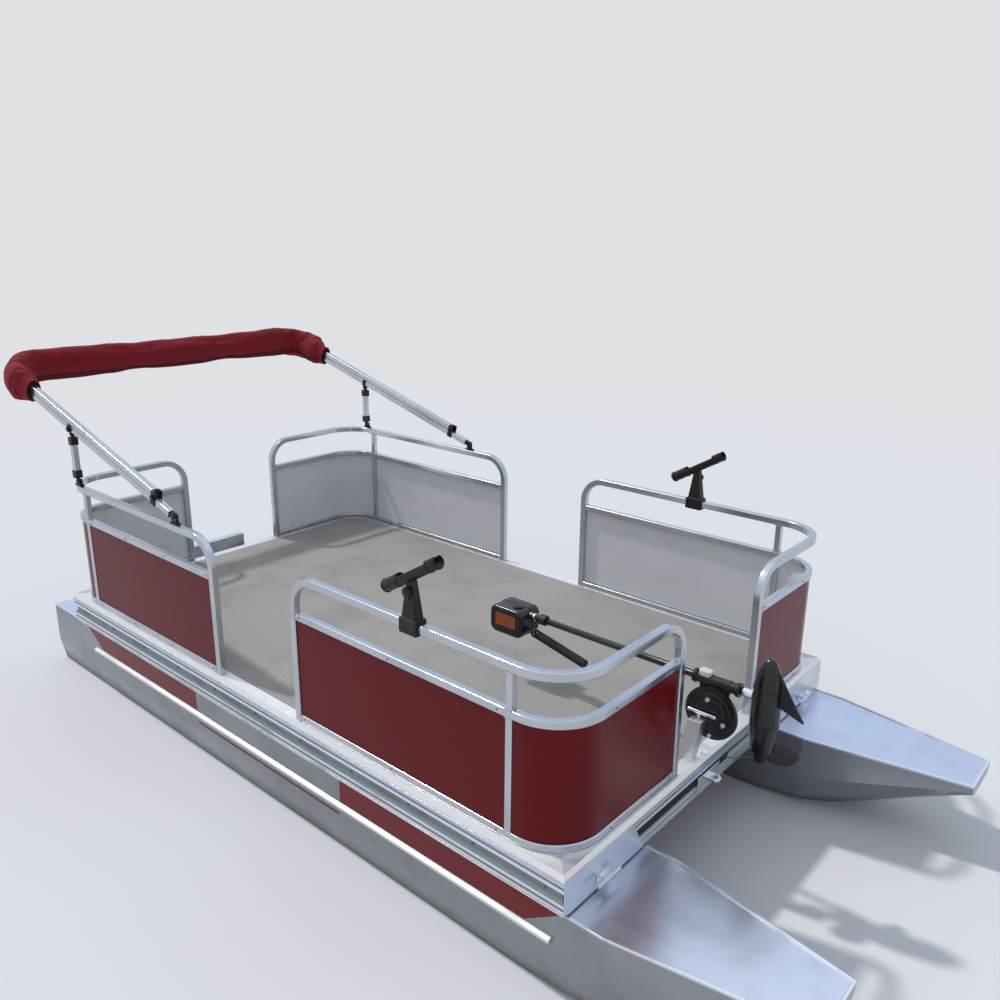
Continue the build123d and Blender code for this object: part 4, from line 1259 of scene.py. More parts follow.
@dataclass
class Hull:
    """Pontoons, deck, edge extrusion, cross beams and motor well."""

    shop: Workshop
    lip: float = 0.060
    lip_wall: float = 0.006
    lip_slope: float = 0.009
    lip_edge: float = 0.600
    rib_start: float = 0.004
    rib_pitch: float = 0.0066
    rib_count: int = 7
    rib_valley: Sequence[Flat] = ((0, 0), (0.001, 0.0016), (0.0024, 0.0016), (0.0034, 0))
    hollows: Sequence[tuple[float, float, float]] = (
        (0.5945, 0.5925, 0.002),
        (0.5780, 0.5692, 0.0045),
        (0.5560, 0.5120, 0.011),
        (0.4990, 0.4900, 0.0045),
        (0.4780, 0.4762, 0.002),
    )
    foot: float = 0.468
    wall: float = 0.020
    recess: float = 0.0105
    recess_z: float = 0.534
    side_screws: Flat = (0.10, 0.08)
    end_screws: float = 0.93
    sheet_top: float = 0.460
    pontoon_line: float = 0.7495
    nose_welds: Flat = (0.15, -0.30)
    nose_weld_line: float = 0.2305
    strake_run: Flat = (1.53, -1.58)
    strake_welds: Flat = (0.3265, 0.3495)
    strake_line: float = 0.2335
    corner_inset: float = 0.058
    corner_bend: float = 0.150
    plate: float = 0.0016
    strips: Sequence[Flat] = ((-0.60, -0.108), (-0.061, 0.089))
    strip_height: float = 0.034
    strip_inset: float = 0.007
    vent: Flat = (0.870, 0.484)

    def rail_profile(self) -> list[Flat]:
        """Outline of the edge extrusion: distance out from the deck's edge line, and height."""
        under = DECK_TOP - self.lip_wall
        outline: list[Flat] = [(-self.lip, under), (-self.lip, DECK_TOP)]
        for index in range(self.rib_count):
            start = -self.lip + self.rib_start + index * self.rib_pitch
            outline += [(start + across, DECK_TOP - depth) for across, depth in self.rib_valley]
        outline += [(-self.lip_slope - 0.001, DECK_TOP), (-0.001, self.lip_edge + 0.003)]
        outline.append((0, self.lip_edge))
        for top, bottom, depth in self.hollows:
            ease = min(depth, (top - bottom) / 2)
            outline += [(0, top), (-depth, top - ease), (-depth, bottom + ease), (0, bottom)]
        outline += [(0, self.foot + 0.002), (-0.002, self.foot)]
        outline += [(-self.wall, self.foot), (-self.wall, under)]
        return outline

    def edge_extrusion(self) -> None:
        """The mitred extrusion round the deck's edge, with the joint lines at its corners."""
        profile = self.rail_profile()
        rings = []
        for x, side in ((BOW_X, -1), (BOW_X, 1), (STERN_X, 1), (STERN_X, -1)):
            ahead = 1 if x > 0 else -1
            rings.append(
                [Vector((x + ahead * out, side * (HALF_BEAM + out), z)) for out, z in profile]
            )
        shape = Shape().rings(rings, closed=True)
        nodes = ["rub_rail_starboard", "rub_rail_port", "end_rail_stern", "end_rail_bow"]
        self.shop.piece(
            "edge_extrusion", shape, "edge", "hull", "mill_aluminium", nodes, shading=Shading.FLAT
        )

    def weld_lines(self) -> None:
        """Weld beads where the nose tops meet the pontoons' sides, and along the strakes."""
        paths = []
        top = self.sheet_top + 0.001
        for side in SIDES.values():
            for face in (-1, 1):
                across = side * self.pontoon_line + face * self.nose_weld_line
                paths.append([Vector((BOW_X + ahead, across, top)) for ahead in self.nose_welds])
            outer = side * (self.pontoon_line + self.strake_line)
            for z in self.strake_welds:
                paths.append([Vector((x, outer, z)) for x in self.strake_run])
        row = HeadRow("weld_beads", 0.0065, 0.0022, 0.0042, uneven=0.35, sides=6)
        self.shop.heads(row, "pontoon_welds", paths, "weld", "hull", "mill_aluminium")

    def screws(self) -> None:
        """Screws along the extrusion's recess."""
        paths = []
        aft, ahead = self.side_screws
        for side in SIDES.values():
            across = side * (HALF_BEAM - self.recess)
            run = (STERN_X + aft, BOW_X - ahead)
            paths.append([Vector((x, across, self.recess_z)) for x in run])
        for x in (BOW_X - self.recess, STERN_X + self.recess):
            run = (-self.end_screws, self.end_screws)
            paths.append([Vector((x, y, self.recess_z)) for y in run])
        row = HeadRow("rail_screws", 0.305, 0.0048, 0.0048, sides=10)
        self.shop.heads(row, "rail_screws", paths, "screw", "hull", "mill_aluminium")

    def corner_fillers(self) -> None:
        """The flat plates that close the deck's corners outside the fences' bends."""
        bend, steps = self.corner_bend, 8
        outline = [(0.0, 0.0), (0.0, bend)]
        for step in range(steps + 1):
            angle = radians(90 * step / steps)
            outline.append((bend * (1 - cos(angle)), bend * (1 - sin(angle))))
        outline.append((bend, 0.0))
        shape = Shape()
        for x, ahead in ((BOW_X, 1), (STERN_X, -1)):
            for side in SIDES.values():
                across = side * (HALF_BEAM - self.corner_inset)
                middle = DECK_TOP + self.plate / 2
                corner = Vector((x - ahead * self.corner_inset, across, middle))
                shape.slab(corner, FORWARD * -ahead, PORT * -side, outline, self.plate)
        self.shop.piece("deck_corner_plates", shape, "riser", "hull", "mill_aluminium")

    def bow_fittings(self) -> None:
        """The dark strips in the bow's recess and the bright round fitting beside them."""
        strips = Shape()
        for start, end in self.strips:
            centre = Vector((BOW_X - self.strip_inset, (start + end) / 2, self.recess_z))
            strips.slab(centre, PORT, UP, rounded(end - start, self.strip_height, 0.006), 0.009)
        self.shop.piece("bow_strips", strips, "rubber", "hull", "black_nylon", bevel=0.002)
        profile = [(-0.002, 0.019), (0.002, 0.019), (0.004, 0.0165), (0.005, 0.011)]
        profile += [(0.011, 0.010), (0.014, 0.006), (0.015, 0.0)]
        fitting = Shape().lathe(Vector((BOW_X, *self.vent)), FORWARD, profile, 28)
        self.shop.piece("bow_vent", fitting, "chrome", "hull", "chrome", shading=Shading.ROUND)

    def build(self) -> None:
        """Makes and dresses the hull."""
        for side in SIDES:
            self.shop.eased(f"pontoon_{side}", "pontoon", 0.0025, angle=7.0, shading=Shading.FLAT)
        self.shop.dress("cross_beams", "deck_board", "deck_covering", "motor_well")
        self.edge_extrusion()
        self.weld_lines()
        self.screws()
        self.corner_fillers()
        self.bow_fittings()
        self.shop.eased("bow_corner_plates", "mill_aluminium", 0.0008)
        self.shop.eased("mooring_cleats", "bright_steel", 0.0045, segments=3)
        self.shop.eased("bow_eye", "bright_steel", 0.0012)


@dataclass
class Fences:
    """Four bent tube units with their red sheets."""

    shop: Workshop
    runs: dict[str, float] = field(default_factory=lambda: {"bow": 1.383, "stern": 1.421})
    tube: float = 0.032
    rail: float = 0.030
    post: float = 0.028
    tube_corner: float = 0.005
    post_corner: float = 0.0045
    end_line: float = 0.034
    gap: float = 0.304
    top: float = 1.245
    rails: Flat = (1.082, 0.635)
    bend: float = 0.124
    corner: float = 0.189
    bend_step: float = radians(4.5)
    post_line: float = 0.253
    weld_gap: float = 0.0005
    sheet: float = 0.004
    sheet_line: float = 0.028
    sheet_step: float = radians(3)
    side_screws: Flat = (0.055, 0.30)
    end_screws: Flat = (0.345, 0.72)

    def place(self, end: str, side: str, inward: float, out: float, z: float) -> Vector:
        """A point of a unit.

        Args:
            end: Bow or stern.
            side: Starboard or port.
            inward: Distance in from the end's edge.
            out: Distance from the middle line.
            z: Height.

        Returns:
            The point.
        """
        x = BOW_X - inward if end == "bow" else STERN_X + inward
        return Vector((x, SIDES[side] * out, z))

    def far_leg(self, end: str) -> float:
        """How far in from the end's edge the middle of a unit's far leg stands."""
        return self.runs[end] - self.tube / 2

    def tubes(self, end: str, side: str) -> None:
        """The hoop, rails and corner post of one unit.

        Args:
            end: Bow or stern.
            side: Starboard or port.
        """

        def at(inward: float, out: float, z: float) -> Vector:
            """A point of this unit."""
            return self.place(end, side, inward, out, z)

        shape = Shape()
        far = self.far_leg(end)
        corners = [
            at(far, RAIL_LINE, DECK_TOP),
            at(far, RAIL_LINE, self.top),
            at(self.end_line, RAIL_LINE, self.top),
            at(self.end_line, self.gap, self.top),
            at(self.end_line, self.gap, DECK_TOP),
        ]
        hoop = filleted(corners, (self.bend, self.corner, self.bend), self.bend_step)
        shape.sweep(hoop, rounded(self.tube, self.tube, self.tube_corner), PORT)
        for z in self.rails:
            corners = [
                at(far, RAIL_LINE, z),
                at(self.end_line, RAIL_LINE, z),
                at(self.end_line, self.gap, z),
            ]
            path = filleted(corners, (self.corner,), self.bend_step)
            shape.sweep(path, rounded(self.rail, self.rail, self.tube_corner), PORT)
        post = [at(self.post_line, RAIL_LINE, z) for z in (self.rails[1], self.top)]
        shape.sweep(post, rounded(self.post, self.post, self.post_corner), PORT)
        name, node = f"fence_tubes_{end}_{side}", f"fence_frame_{end}_{side}"
        self.shop.piece(name, shape, "tube", "hull", "mill_aluminium", [node])

    def welds(self, end: str, side: str) -> None:
        """The weld beads round the ends of one unit's rails, legs and corner post.

        Args:
            end: Bow or stern.
            side: Starboard or port.
        """
        on_leg = self.tube / 2 + self.weld_gap
        on_rail = self.rail / 2 + self.weld_gap
        legs = (
            (self.far_leg(end), RAIL_LINE, FORWARD * ENDS[end]),
            (self.end_line, self.gap, PORT * SIDES[side]),
        )
        paths = []
        for inward, out, toward in legs:
            across = UP.cross(toward)
            for z in self.rails:
                centre = self.place(end, side, inward, out, z) + toward * on_leg
                paths.append(self.loop(centre, across, UP, self.rail / 2))
            foot = self.place(end, side, inward, out, DECK_TOP + 0.001)
            paths.append(self.loop(foot, FORWARD, PORT, self.tube / 2))
        high, low = self.rails
        for z in (low + on_rail, high - on_rail, high + on_rail, self.top - on_leg):
            centre = self.place(end, side, self.post_line, RAIL_LINE, z)
            paths.append(self.loop(centre, FORWARD, PORT, self.post / 2))
        name = f"{end}_{side}"
        row = HeadRow(f"fence_weld_{name}", 0.0042, 0.0019, 0.0030, uneven=0.4, sides=6)
        self.shop.heads(row, f"fence_welds_{name}", paths, "weld", "hull", "mill_aluminium")

    @staticmethod
    def loop(centre: Vector, right: Vector, up: Vector, half: float) -> list[Vector]:
        """A square loop round a tube's end.

        Args:
            centre: Its middle.
            right: Direction of one side.
            up: Direction of the other.
            half: Half its width.

        Returns:
            Its points, the first repeated at the end.
        """
        signs = ((-1, -1), (1, -1), (1, 1), (-1, 1), (-1, -1))
        return [centre + right * x * half + up * y * half for x, y in signs]

    def sheets(self, end: str, side: str) -> None:
        """The red sheets of one unit, one flat and one bent, which meet at the corner post.

        Args:
            end: Bow or stern.
            side: Starboard or port.
        """
        high, low = self.rails[0] - self.rail / 2, self.rails[1] + self.rail / 2
        middle = (low + high) / 2
        section = rounded(self.sheet, high - low, 0.0015, 1)
        out, inset = HALF_BEAM - self.sheet_line, self.sheet_line
        ends = (self.runs[end] - self.tube, self.post_line + self.post / 2)
        flat = [self.place(end, side, inward, out, middle) for inward in ends]
        bent = [
            self.place(end, side, self.post_line - self.post / 2, out, middle),
            self.place(end, side, inset, out, middle),
            self.place(end, side, inset, self.gap + self.tube / 2, middle),
        ]
        corner = self.corner + self.end_line - inset
        shape = Shape().sweep(flat, section, PORT)
        shape.sweep(filleted(bent, (corner,), self.sheet_step), section, PORT)
        name, node = f"fence_sheets_{end}_{side}", f"fence_panels_{end}_{side}"
        self.shop.piece(name, shape, "red_panel", "hull", "red_panel", [node])

    def screws(self, end: str, side: str) -> None:
        """The screws that hold one unit's sheets to its rails.

        Args:
            end: Bow or stern.
            side: Starboard or port.
        """
        out = RAIL_LINE + self.rail / 2
        edge = self.end_line - self.rail / 2
        paths = []
        for z in self.rails:
            run = (self.runs[end] - self.side_screws[0], self.side_screws[1])
            paths.append([self.place(end, side, inward, out, z) for inward in run])
            paths.append([self.place(end, side, edge, across, z) for across in self.end_screws])
        name = f"{end}_{side}"
        row = HeadRow(f"fence_screw_{name}", 0.345, 0.0040, 0.0040, sides=10)
        self.shop.heads(row, f"fence_screws_{name}", paths, "screw", "hull", "mill_aluminium")

    def build(self) -> None:
        """Makes all four units."""
        for end in ENDS:
            for side in SIDES:
                self.tubes(end, side)
                self.welds(end, side)
                self.sheets(end, side)
                self.screws(end, side)


@dataclass
class Bimini:
    """Folded bows in their boot, struts and fittings."""

    shop: Workshop
    foot: Vector = field(default_factory=lambda: Vector((-0.64096, 0, 1.298)))
    aft: Vector = field(default_factory=lambda: Vector((-0.96174, 0, 0.27396)))
    rise: Vector = field(default_factory=lambda: Vector((0.27396, 0, 0.96174)))
    tube: float = 0.032
    reach: float = 1.730
    bend: float = 0.190
    main_start: float = 0.026
    second_start: float = 0.175
    second_lift: float = 0.034
    boot_start: float = 1.410
    boot_full: float = 1.540
    boot_thick: float = 0.118
    boot_deep: float = 0.196
    boot_end: float = 0.60
    boot_step: float = 0.03
    voxel: float = 0.008
    swell: float = 0.014
    swell_frames: int = 20
    pressure: float = 4.0
    growth: float = 0.05
    held: float = 0.085
    shallow_fold: float = 0.0012
    leg_fold: float = 0.0034
    ripple: float = 0.0016
    seam_turn: float = radians(208)
    lip_turn: float = radians(226)
    stitch_turns: Sequence[float] = (radians(196), radians(236), radians(60))
    knob_spots: Sequence[Flat] = ((0.972, -0.006), (0.158, 0.017))
    knob_out: float = 0.0195

    def point(self, along: float, across: float, lift: float = 0.0) -> Vector:
        """A point in the plane of the bows.

        Args:
            along: Distance from the rail mounts.
            across: Distance to port.
            lift: Distance out of the plane.

        Returns:
            The point.
        """
        return self.foot + self.aft * along + self.rise * lift + Vector((0, across, 0))

    def run(self, start: float, lift: float, step: float = radians(5)) -> list[Vector]:
        """The centre line of a bow from its starboard to its port leg.

        Args:
            start: Distance of the legs' ends from the rail mounts.
            lift: Distance out of the plane.
            step: Largest turn between two points.

        Returns:
            Its points.
        """
        corners = [
            self.point(start, -RAIL_LINE, lift),
            self.point(self.reach, -RAIL_LINE, lift),
            self.point(self.reach, RAIL_LINE, lift),
            self.point(start, RAIL_LINE, lift),
        ]
        return filleted(corners, (self.bend, self.bend), step)

    def bows(self) -> None:
        """The two bent square tubes."""
        section = rounded(self.tube, self.tube, 0.005)
        for name, start, lift in (
            ("main", self.main_start, 0.0),
            ("second", self.second_start, self.second_lift),
        ):
            shape = Shape().sweep(self.run(start, lift), section, STARBOARD)
            node = f"bimini_{name}_bow"
            self.shop.piece(f"{node}_tube", shape, "tube", "bimini", "mill_aluminium", [node])

    def boot_path(self) -> tuple[list[Vector], list[float]]:
        """The boot's centre line in short steps, and its size along it.

        Returns:
            The points and a share for each.
        """
        rough = self.run(self.boot_start, self.second_lift / 2, radians(7))
        path = [rough[0]]
        for before, after in zip(rough, rough[1:]):
            count = max(1, round((after - before).length / self.boot_step))
            path.extend(before.lerp(after, step / count) for step in range(1, count + 1))
        total = sum((b - a).length for a, b in zip(path, path[1:]))
        shares, gone = [], 0.0
        for index, point in enumerate(path):
            gone += (point - path[index - 1]).length if index else 0.0
            near = min(gone, total - gone)
            grown = min(1.0, near / (self.boot_full - self.boot_start))
            share = self.boot_end + (1 - self.boot_end) * grown * grown * (3 - 2 * grown)
            # Two slow waves keep the roll from looking turned on a lathe.
            share *= 1 + 0.025 * sin(gone * 11.0) + 0.018 * sin(gone * 23.0 + 1.0)
            shares.append(share)
        return path, shares

    def leg_ends(self) -> list[Vector]:
        """The middles of the boot's two open ends, starboard first."""
        lift = self.second_lift / 2
        return [self.point(self.boot_start, side * RAIL_LINE, lift) for side in SIDES.values()]

    def swollen(self, obj: bpy.types.Object) -> None:
        """Blows the cloth up a little, with the leg ends held, and keeps the result.

        Args:
            obj: The boot, already in small even faces.
        """
        start = [vertex.co.copy() for vertex in obj.data.vertices]
        ends = self.leg_ends()
        still = [
            index
            for index, place in enumerate(start)
            if min((place - end).length for end in ends) < self.held
        ]
        obj.vertex_groups.new(name="held").add(still, 1.0, "REPLACE")
        modifier = obj.modifiers.new("swell", "CLOTH")
        settings = modifier.settings
        settings.quality = 4
        settings.mass = 0.3
        settings.use_pressure = True
        settings.uniform_pressure_force = self.pressure
        settings.effector_weights.gravity = 0
        settings.shrink_min = -self.growth
        settings.shrink_max = -self.growth
        settings.bending_stiffness = 0.4
        settings.vertex_group_mass = "held"
        modifier.point_cache.frame_start = 1
        modifier.point_cache.frame_end = self.swell_frames
        scene = bpy.context.scene
        for frame in range(1, self.swell_frames + 1):
            scene.frame_set(frame)
        graph = bpy.context.evaluated_depsgraph_get()
        moved = [vertex.co.copy() for vertex in obj.evaluated_get(graph).data.vertices]
        obj.modifiers.clear()
        kept: list[float] = []
        for old, new in zip(start, moved):
            shift = new - old
            if shift.length > self.swell:
                shift = shift.normalized() * self.swell
            kept.extend(old + shift)
        obj.data.vertices.foreach_set("co", kept)
        obj.data.update()
        scene.frame_set(1)

    def wrinkled(self, obj: bpy.types.Object) -> None:
        """Draws shallow folds into the cloth, deeper round its corners and down its legs.

        Args:
            obj: The boot, in its final small faces.
        """
        bend_start = RAIL_LINE - self.bend
        middle = self.point(self.reach, 0, self.second_lift / 2)
        ends = self.leg_ends()
        normals = [vertex.normal.copy() for vertex in obj.data.vertices]
        moved: list[float] = []
        for vertex, normal in zip(obj.data.vertices, normals):
            place = vertex.co.copy()
            round_it = (place - middle).dot(self.aft)
            on_leg = min(1.0, max(0.0, (abs(place.y) - bend_start + 0.10) / 0.12))
            lines = Vector((place.y * 9.0, place.z * 3.5, round_it * 16.0 + place.y * 4.0))
            fold = 1 - abs(noise.noise(lines)) * 2.4
            fine = noise.noise(Vector((place.y * 26.0, place.z * 9.0, round_it * 9.0)))
            depth = fold * (self.shallow_fold + self.leg_fold * on_leg) + fine * self.ripple
            near_end = min((place - end).length for end in ends)
            moved.extend(place + normal * depth * min(1.0, max(0.0, (near_end - 0.05) / 0.05)))
        obj.data.vertices.foreach_set("co", moved)
        obj.data.update()

    def boot(self) -> bpy.types.Object:
        """The boot's cloth: a closed roll in small faces, blown up and subdivided once.

        Returns:
            The finished cloth.
        """
        path, shares = self.boot_path()
        outline = [
            (x * (1 - 0.10 * (y / self.boot_deep * 2) ** 2), y - 0.004)
            for x, y in circle(self.boot_thick / 2, 28, self.boot_deep / 2)
        ]
        shape = Shape().sweep(path, outline, STARBOARD, shares)
        mesh = bpy.data.meshes.new("boot")
        mesh.from_pydata(shape.points, [], shape.faces)
        obj = linked("bimini_boot_cloth", mesh)
        remesh = obj.modifiers.new("even_faces", "REMESH")
        remesh.mode = "VOXEL"
        remesh.voxel_size = self.voxel
        settle(obj)
        self.swollen(obj)
        smooth = obj.modifiers.new("finer", "SUBSURF")
        smooth.levels = 1
        smooth.render_levels = 1
        settle(obj)
        self.wrinkled(obj)
        obj.data.materials.clear()
        obj.data.materials.append(self.shop.finishes["red_cloth"])
        shade(obj, Shading.CLOTH)
        self.shop.settle_piece(obj, "bimini", "red_cloth", ["bimini_boot"])
        return obj

    def on_cloth(self, cloth: BVHTree, turn: float, out: float) -> list[Vector]:
        """A line along the boot, laid on its cloth.

        Args:
            cloth: The finished cloth's faces.
            turn: Angle round the boot's section, from the inner side of the bend.
            out: Distance out from the cloth.

        Returns:
            Its points, evened out a little.
        """
        path, shares = self.boot_path()
        line: list[Vector] = []
        side, last = STARBOARD, None
        for index, point in enumerate(path):
            before, after = path[max(0, index - 1)], path[min(len(path) - 1, index + 1)]
            ahead = (after - before).normalized()
            side = side if last is None else last.rotation_difference(ahead) @ side
            up = ahead.cross(side)
            last = ahead
            toward = side * cos(turn) * 0.07 + up * sin(turn) * 0.11
            hit = cloth.ray_cast(point + toward * 2.2, -toward)[0]
            found = point + toward * shares[index] if hit is None else hit
            line.append(found + toward.normalized() * out)
        return [(a + b * 2 + c) / 4 for a, b, c in zip(line, line[1:], line[2:])]

    def seams(self, boot: bpy.types.Object) -> None:
        """The boot's closing seam with its lip and rows of stitches.

        Args:
            boot: The finished cloth.
        """
        cloth = BVHTree.FromObject(boot, bpy.context.evaluated_depsgraph_get())
        line = self.on_cloth(cloth, self.seam_turn, 0.0015)
        seam = Shape().sweep(line, rounded(0.011, 0.013, 0.003, 2), STARBOARD)
        self.shop.piece("boot_seam", seam, "piping", "bimini", "red_cloth", shading=Shading.ROUND)
        line = self.on_cloth(cloth, self.lip_turn, 0.002)
        lip = Shape().sweep(line, circle(0.0065, 10, 0.008), STARBOARD)
        self.shop.piece("boot_lip", lip, "red_cloth", "bimini", "red_cloth", shading=Shading.ROUND)
        rows = [self.on_cloth(cloth, turn, 0.0012) for turn in self.stitch_turns]
        stitches = HeadRow("boot_stitches", 0.0075, 0.0009, 0.0026, sides=6)
        self.shop.heads(stitches, "boot_stitching", rows, "thread", "bimini", "red_cloth")

    def openings(self) -> None:
        """Near-black sheets across the boot's open leg ends, as painted shade for its inside, each
        bound with a rolled hem.
        """
        oval = circle(self.boot_thick / 2 * self.boot_end, 28, self.boot_deep / 2 * self.boot_end)
        shape = Shape()
        for end in self.leg_ends():
            centre = end - self.aft * 0.001
            # Painted shade: a near-black sheet across the opening stands for the shade inside the
            # boot.
            shape.slab(centre, PORT, self.rise, oval, 0.005)
            hem = [centre + PORT * x + self.rise * y for x, y in oval]
            shape.sweep(hem, circle(0.0042, 8), FORWARD, closed=True, finish=1)
        finishes = ["opening", "red_cloth"]
        self.shop.piece(
            "boot_openings", shape, finishes, "bimini", "red_cloth", shading=Shading.ROUND
        )

    def fittings(self) -> None:
        """Struts, clamps, eye ends and rail mounts with eased edges, and the knobs."""
        for node in ("bimini_eye_ends", "bimini_rail_mounts", "bimini_clamps"):
            self.shop.eased(node, "black_nylon", 0.0022, segments=3)
        for side in SIDES:
            self.shop.eased(f"bimini_strut_{side}", "tube", 0.004, segments=3)
            self.shop.eased(f"bimini_strut_ends_{side}", "black_nylon", 0.0022, segments=3)
        knobs = Shape()
        profile = [(0, 0.0135), (0.002, 0.0145), (0.006, 0.0145), (0.0085, 0.012), (0.009, 0.0)]
        for side in SIDES.values():
            for along, lift in self.knob_spots:
                centre = self.point(along, side * (RAIL_LINE + self.knob_out), lift)
                knobs.lathe(centre, PORT * side, profile, 12)
        self.shop.piece("bimini_knobs", knobs, "black_nylon", "bimini", "black_nylon")

    def build(self) -> None:
        """Makes and dresses the bimini."""
        self.bows()
        self.seams(self.boot())
        self.openings()
        self.fittings()


@dataclass
class TrollingMotor:
    """Riser, tilting arm, sliding shaft, head, tiller, pod and propeller."""

    shop: Workshop
    line: float = -0.100
    shaft_z: float = 0.937
    shaft_start: float = 0.71404
    shaft_length: float = 0.998
    shaft_foot: float = 1.71004
    collar_x: float = 0.76904
    collar_ribs: int = 18
    sleeve_rings: Sequence[float] = (1.51104, 1.68504)
    sleeve_seam: float = 1.656
    pod_x: float = 1.79904
    pod_radius: float = 0.053
    pod_grooves: Sequence[float] = (-0.090, 0.051)
    groove_depth: float = 0.0018
    skeg: float = 0.008
    hub_z: float = 0.734
    blade_turns: Sequence[float] = (radians(52), radians(232))
    blade_root: float = 0.020
    blade_span: float = 0.118
    disc_centre: Vector = field(default_factory=lambda: Vector((1.60604, -0.124, 0.823)))
    disc_bolts: Sequence[Flat] = (
        (1.588, 0.870),
        (1.657, 0.789),
        (1.607, 0.726),
        (1.560, 0.800),
    )
    head_centre: Vector = field(default_factory=lambda: Vector((0.62404, -0.100, 0.901)))
    head_size: tuple[float, float, float] = (0.180, 0.130, 0.125)
    head_corner: float = 0.034
    grip_root: Vector = field(default_factory=lambda: Vector((0.74104, -0.100, 0.861)))
    grip_droop: float = radians(12)
    grip_ribs: int = 16
    riser_bolts_x: Flat = (1.571, 1.588)
    riser_bolts_y: Flat = (-0.148, -0.106)
    lever_end: Vector = field(default_factory=lambda: Vector((1.516, -0.144, 0.817)))

    def at(self, x: float) -> Vector:
        """A point of the shaft's line."""
        return Vector((x, self.line, self.shaft_z))

    def shaft(self) -> None:
        """The round shaft with its bright foot, end ring and cable sleeve."""
        start = self.at(self.shaft_start)
        rod = [(0, 0.0130), (0.001, 0.014), (self.shaft_length, 0.014)]
        foot = [(0, 0.0150), (0.002, 0.018), (0.030, 0.018)]
        foot += [(0.033, 0.0165), (0.040, 0.0165), (0.046, 0.017)]
        ring = [(0, 0.016), (0.001, 0.018), (0.020, 0.018), (0.021, 0.0145)]
        sleeve = [(0, 0.0145), (0.001, 0.0168), (0.008, 0.0168), (0.009, 0.0145)]
        shape = Shape()
        shape.lathe(start, FORWARD, rod, 32)
        shape.lathe(self.at(self.shaft_foot), FORWARD, foot, 32, finish=1)
        shape.lathe(start, FORWARD, ring, 32)
        shape.lathe(self.at(self.shaft_start + 0.022), FORWARD, sleeve, 32, finish=1)
        finishes = ["steel_shaft", "bright_steel"]
        self.shop.piece(
            "motor_shaft_rod",
            shape,
            finishes,
            "motor_shaft",
            "steel_shaft",
            ["motor_shaft"],
            shading=Shading.ROUND,
        )

    def pod_profile(self) -> list[Flat]:
        """Outline of the pod: height over its middle and radius, with its two seam grooves.

        Returns:
            The outline from the bottom to the top.
        """
        marks = [(-0.200, 0.80), (-0.150, 0.93), (-0.090, 1.0), (0.0, 0.995), (0.051, 0.96)]
        marks += [(0.080, 0.88), (0.107, 0.76), (0.130, 0.61), (0.147, 0.45), (0.156, 0.32)]
        marks += [(0.161, 0.20), (0.163, 0.0)]
        steps = 4
        profile: list[Flat] = []
        for (low, small), (high, big) in zip(marks, marks[1:]):
            for step in range(steps):
                share = step / steps
                height = low + (high - low) * share
                size = self.pod_radius * (small + (big - small) * share)
                profile.append((height, size))
                if any(abs(height - groove) < 1e-6 for groove in self.pod_grooves):
                    sunk = size - self.groove_depth
                    profile += [(height + 0.001, sunk), (height + 0.003, sunk)]
                    profile.append((height + 0.004, size))
        profile.append((0.163, 0.0))
        return profile

    def pod_body(self) -> None:
        """The motor pod with its seam grooves, and the skeg."""
        pod = self.at(self.pod_x)
        body = Shape().lathe(pod, UP, self.pod_profile(), 56)
        self.shop.piece(
            "motor_pod_body",
            body,
            "black_paint",
            "motor_shaft",
            "black_paint",
            ["motor_pod"],
            shading=Shading.ROUND,
        )
        outline = [(0.0, 0.156), (0.020, 0.150), (0.085, 0.045), (0.143, -0.041)]
        outline += [(0.138, -0.043), (0.050, -0.014), (0.0, -0.014)]
        fin = Shape().slab(pod, FORWARD, UP, outline, self.skeg)
        self.shop.piece(
            "motor_skeg", fin, "black_paint", "motor_shaft", "black_paint", bevel=0.0028, segments=3
        )

    def blade(self, hub: Vector, turn: float) -> list[list[Vector]]:
        """One swept, twisted blade.

        Args:
            hub: The hub's upper end.
            turn: The blade's angle round the hub.

        Returns:
            Its sections from the root to the tip.
        """
        out = Vector((cos(turn), sin(turn), 0))
        onward = Vector((-out.y, out.x, 0))
        steps = 12
        rings = []
        for step in range(steps + 1):
            share = step / steps
            pitch = radians(40 - 14 * share)
            chord = 0.040 + 0.056 * sin(pi * share) * (1 - 0.10 * share)
            chord *= 1.0 if share < 0.85 else max(0.30, 1 - (share - 0.85) * 4.6)
            thick = 0.0048 - 0.0022 * share
            lead = onward * cos(pitch) + UP * sin(pitch)
            flat = lead.cross(out)
            radius = self.blade_root + self.blade_span * share
            centre = hub + UP * -0.026 + out * radius - onward * 0.018 * share * share
            section = circle(chord / 2, 16, thick / 2)
            rings.append([centre + lead * x + flat * y for x, y in section])
        return rings

    def propeller(self) -> None:
        """Hub with a rounded nut and its blades."""
        hub = Vector((self.pod_x, self.line, self.hub_z))
        profile = [(0, 0.027), (0.003, 0.028), (0.036, 0.027)]
        profile += [(0.046, 0.021), (0.0515, 0.010), (0.052, 0.0)]
        shape = Shape().lathe(hub, -UP, profile, 40)
        for turn in self.blade_turns:
            shape.rings(self.blade(hub, turn))
        self.shop.piece(
            "motor_propeller_blades",
            shape,
            "black_nylon",
            "propeller",
            self.shop.slots["motor_propeller"],
            ["motor_propeller"],
            shading=Shading.ROUND,
        )

